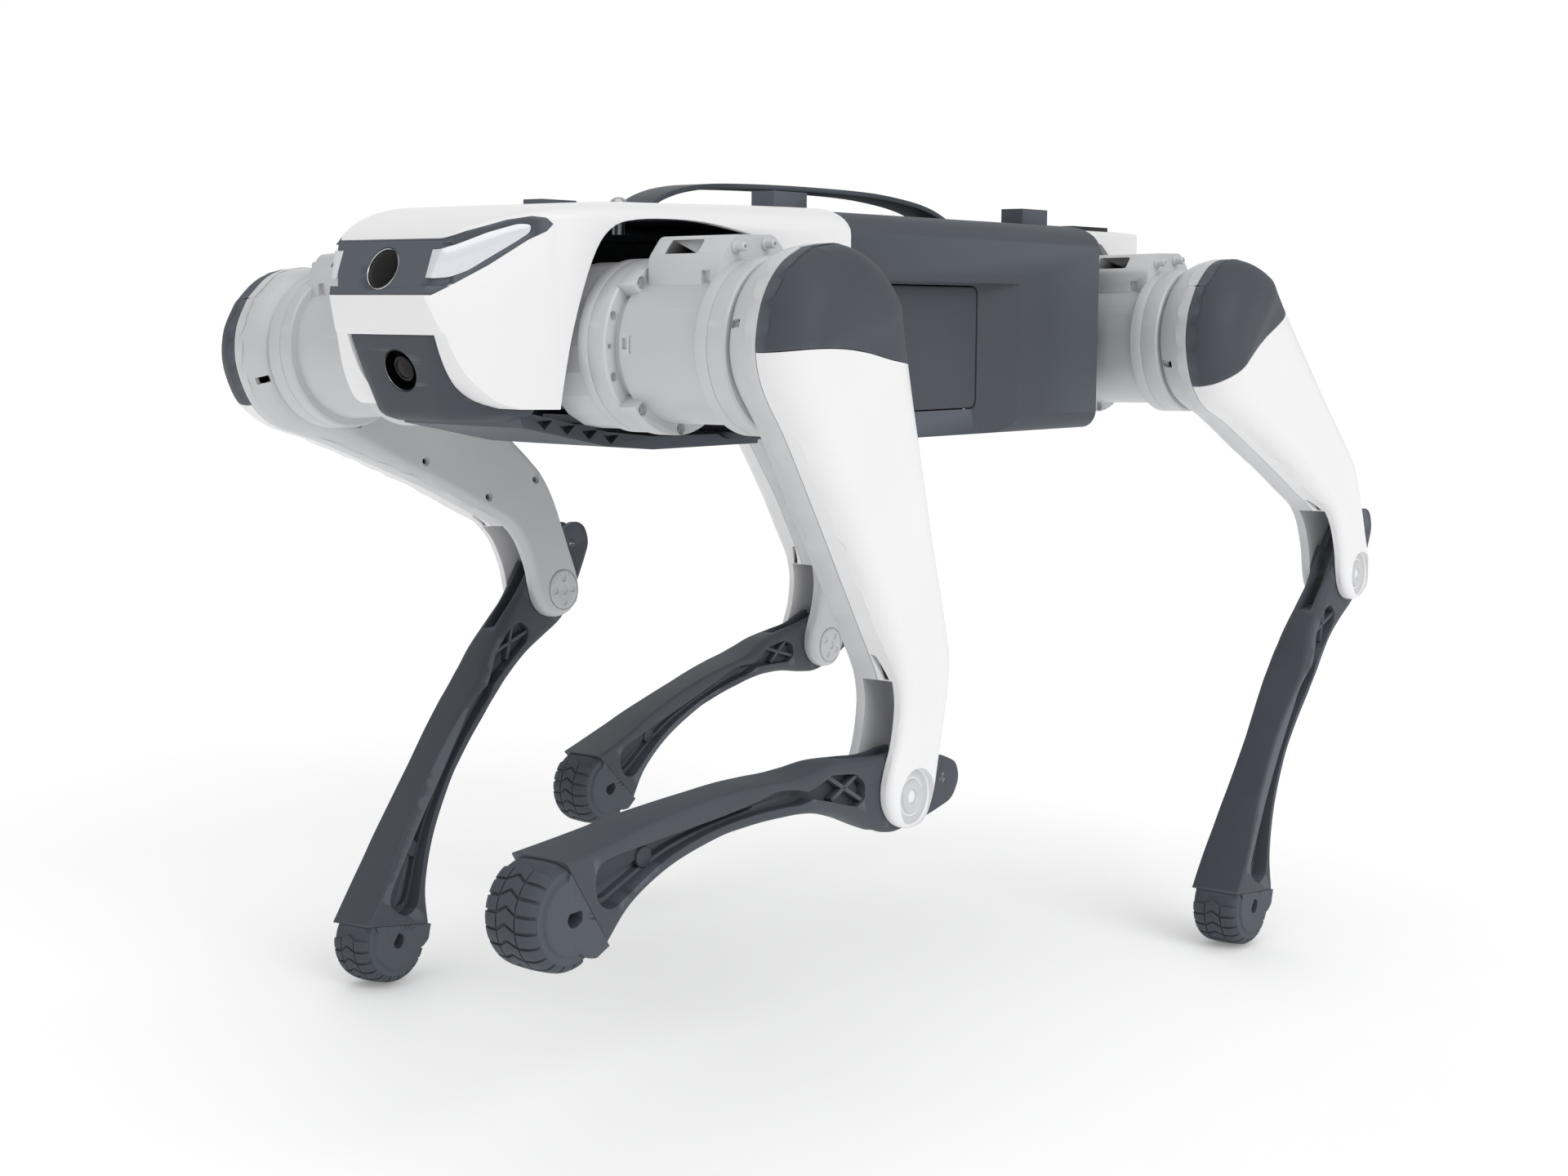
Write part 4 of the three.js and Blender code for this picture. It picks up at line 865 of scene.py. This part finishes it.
def torso_pieces():
    outside = saddle_ring(BODY_HALF, SADDLE_TOP, SADDLE_BOTTOM, 9)
    saddle = make_object("saddle", prism(outside, "y", *SADDLE_Y))
    combine(saddle, prism(saddle_ring(RECESS_X - WALL, SADDLE_TOP - WALL, SADDLE_BOTTOM + WALL, 6), "y",
                          SADDLE_Y[0] - 1, SADDLE_Y[1] + 1))
    ramp = smooth_line([(RECESS_X, 30), (RECESS_X + 0.4, 34), (RECESS_X + 2, 40), (RECESS_X + 5.2, 48),
                        (BODY_HALF + 0.6, 56)], 5)
    recess = [(120, SADDLE_Y[0] - 5), (RECESS_X, SADDLE_Y[0] - 5)] + ramp + [(120, 56)]
    for side in (1, -1):
        combine(saddle, prism([(side * x, y) for x, y in recess], "z", -60, 29.5))
    combine(saddle, prism(rounded(rectangle(BATTERY_Y, BATTERY_Z, 0.15), 5, 6), "x", 60, 120))
    pads = [prism([(s * x, y) for x, y in rectangle(PAD_X, ys, PAD_GAP)], "z", 50, 80)
            for s in (1, -1) for ys in PAD_Y]
    combine(saddle, merged(*pads))
    battery = make_object("battery", prism(rounded(rectangle(BATTERY_Y, BATTERY_Z, -0.4), 4.7, 6), "x",
                                           -50, RECESS_X - 0.1))
    arc = [(-112, 0), (-106, 3.5), (-96, 8), (-80, 12), (-55, 14.5), (0, 15.8), (60, 15.4), (95, 13),
           (118, 9.5), (134, 4.5), (142, 0)]
    over = smooth_line([(y, ROOF + 0.3 + z) for y, z in arc], 5)
    under = [(y, max(z - 2.5, ROOF + 0.3)) for y, z in over if -109 < y < 138]
    strap = make_object("strap", prism(over + under[::-1], "x", -10, 10))
    dome = lathe([(50, 0), (50, 3), (ROOF - 3, 3), (ROOF - 3, 4.4), (ROOF + 0.9, 4.4), (ROOF + 1.2, 4.0),
                  (ROOF + 1.8, 4.0), (ROOF + 2.1, 4.4), (ROOF + 3.2, 4.3), (ROOF + 4.6, 3.5), (ROOF + 5.6, 2.1),
                  (ROOF + 6.1, 0)], 40)
    upright = Matrix.Translation((0, BUTTON_Y, 0)) @ Matrix.Rotation(-math.pi / 2, 4, "Y")
    bmesh.ops.transform(dome, matrix=upright, verts=dome.verts)
    dome = make_object("dome", dome)
    inlay = make_object("inlay", prism(rounded([(-9, -137), (9, -137), (9, -124.5), (-9, -124.5)], 2, 3), "z",
                                       ROOF - 0.4, ROOF + 0.7))
    strip = make_object("strip", prism(rounded([(56, 178), (64, 178), (64, 216), (56, 216)], 1.5, 3), "z",
                                       ROOF - 1.5, ROOF + 1.4))
    place(saddle, "saddle_cover", TORSO, "torso", "slate_plastic", "mid_cover", edge=1.2, segments=3)
    place(battery, "battery_case", TORSO, "battery", "slate_plastic", "battery_pack", edge=0.8, segments=3)
    place(strap, "strap_band", TORSO, "torso", "slate_plastic", "carry_strap", edge=0.8, segments=3)
    place(dome, "button_dome", TORSO, "power_button", "button_steel", "power_button", edge=0)
    place(inlay, "roof_inlay", TORSO, "torso", "slate_plastic", material="seam_black", edge=0.2)
    place(strip, "tail_strip", TORSO, "torso", "slate_plastic", material="seam_black", edge=0.3)
    for template in (saddle, battery, strap, dome, inlay, strip):
        bpy.data.objects.remove(template)


torso_pieces()


# ------------------------------------------------------------------ stage, light and camera
AIM = Vector((0, 0, 0.25))
FLOOR_SIZE, FLOOR_GLOW, SKY_STRENGTH = 30, 0.18, 0.56
# Azimuth, elevation and roll in degrees, place in the torso's millimetres, focal length in mm.
CAMERA_ANGLES, CAMERA_SPOT, CAMERA_LENS = (38.57, 6.81, 0.4), Vector((737.0, -916.9, 14.7)), 52.95


def studio():
    mesh = bpy.data.meshes.new("floor")
    bm = bmesh.new()
    bmesh.ops.create_grid(bm, x_segments=1, y_segments=1, size=FLOOR_SIZE)
    bm.to_mesh(mesh)
    floor = bpy.data.objects.new("floor", mesh)
    bpy.context.scene.collection.objects.link(floor)
    paint_white = finish_material("floor_paint", (252, 252, 252), 0.7, grain=60, bump=0.0, mottle=0.0)
    glow = paint_white.node_tree.nodes["Principled BSDF"].inputs
    glow["Emission Color"].default_value = (1, 1, 1, 1)
    glow["Emission Strength"].default_value = FLOOR_GLOW
    floor.data.materials.append(paint_white)
    world = bpy.data.worlds.new("studio")
    world.use_nodes = True
    bpy.context.scene.world = world
    nodes, links = world.node_tree.nodes, world.node_tree.links
    soft = nodes["Background"]
    soft.inputs["Color"].default_value = (1, 1, 1, 1)
    soft.inputs["Strength"].default_value = SKY_STRENGTH
    backdrop = nodes.new("ShaderNodeBackground")
    backdrop.inputs["Color"].default_value = (1, 1, 1, 1)
    path = nodes.new("ShaderNodeLightPath")
    mix = nodes.new("ShaderNodeMixShader")
    links.new(path.outputs["Is Camera Ray"], mix.inputs["Fac"])
    links.new(soft.outputs["Background"], mix.inputs[1])
    links.new(backdrop.outputs["Background"], mix.inputs[2])
    links.new(mix.outputs["Shader"], nodes["World Output"].inputs["Surface"])
    bpy.context.scene.view_settings.view_transform = "Standard"
    lamps = (("key", (3.0, -0.7, 2.0), 38, 0.95), ("top", (0.3, -0.4, 3.0), 60, 0.5),
             ("back", (-2.2, 1.8, 1.6), 40, 0.2))
    for name, position, spread, power in lamps:
        lamp = bpy.data.lights.new(name, "SUN")
        lamp.angle = math.radians(spread)
        lamp.energy = power
        holder = bpy.data.objects.new(name, lamp)
        holder.location = position
        holder.rotation_euler = (AIM - Vector(position)).to_track_quat("-Z", "Y").to_euler()
        bpy.context.scene.collection.objects.link(holder)


def camera():
    """Camera low in front of the robot's left shoulder, level with the hips."""
    azimuth, elevation, roll = (math.radians(a) for a in CAMERA_ANGLES)
    back = Vector((math.sin(azimuth) * math.cos(elevation), -math.cos(azimuth) * math.cos(elevation),
                   math.sin(elevation)))
    right = Vector((math.cos(azimuth), math.sin(azimuth), 0))
    up = back.cross(right)
    across = right * math.cos(roll) + up * math.sin(roll)
    above = up * math.cos(roll) - right * math.sin(roll)
    spot = TORSO @ CAMERA_SPOT
    lens = bpy.data.cameras.new("photo_camera")
    lens.sensor_width = 36.0
    lens.lens = CAMERA_LENS
    lens.clip_start = 0.05
    eye = bpy.data.objects.new("photo_camera", lens)
    eye.matrix_world = Matrix(((across.x, above.x, back.x, spot.x), (across.y, above.y, back.y, spot.y),
                               (across.z, above.z, back.z, spot.z), (0, 0, 0, 1)))
    bpy.context.scene.collection.objects.link(eye)
    bpy.context.scene.camera = eye


studio()
camera()
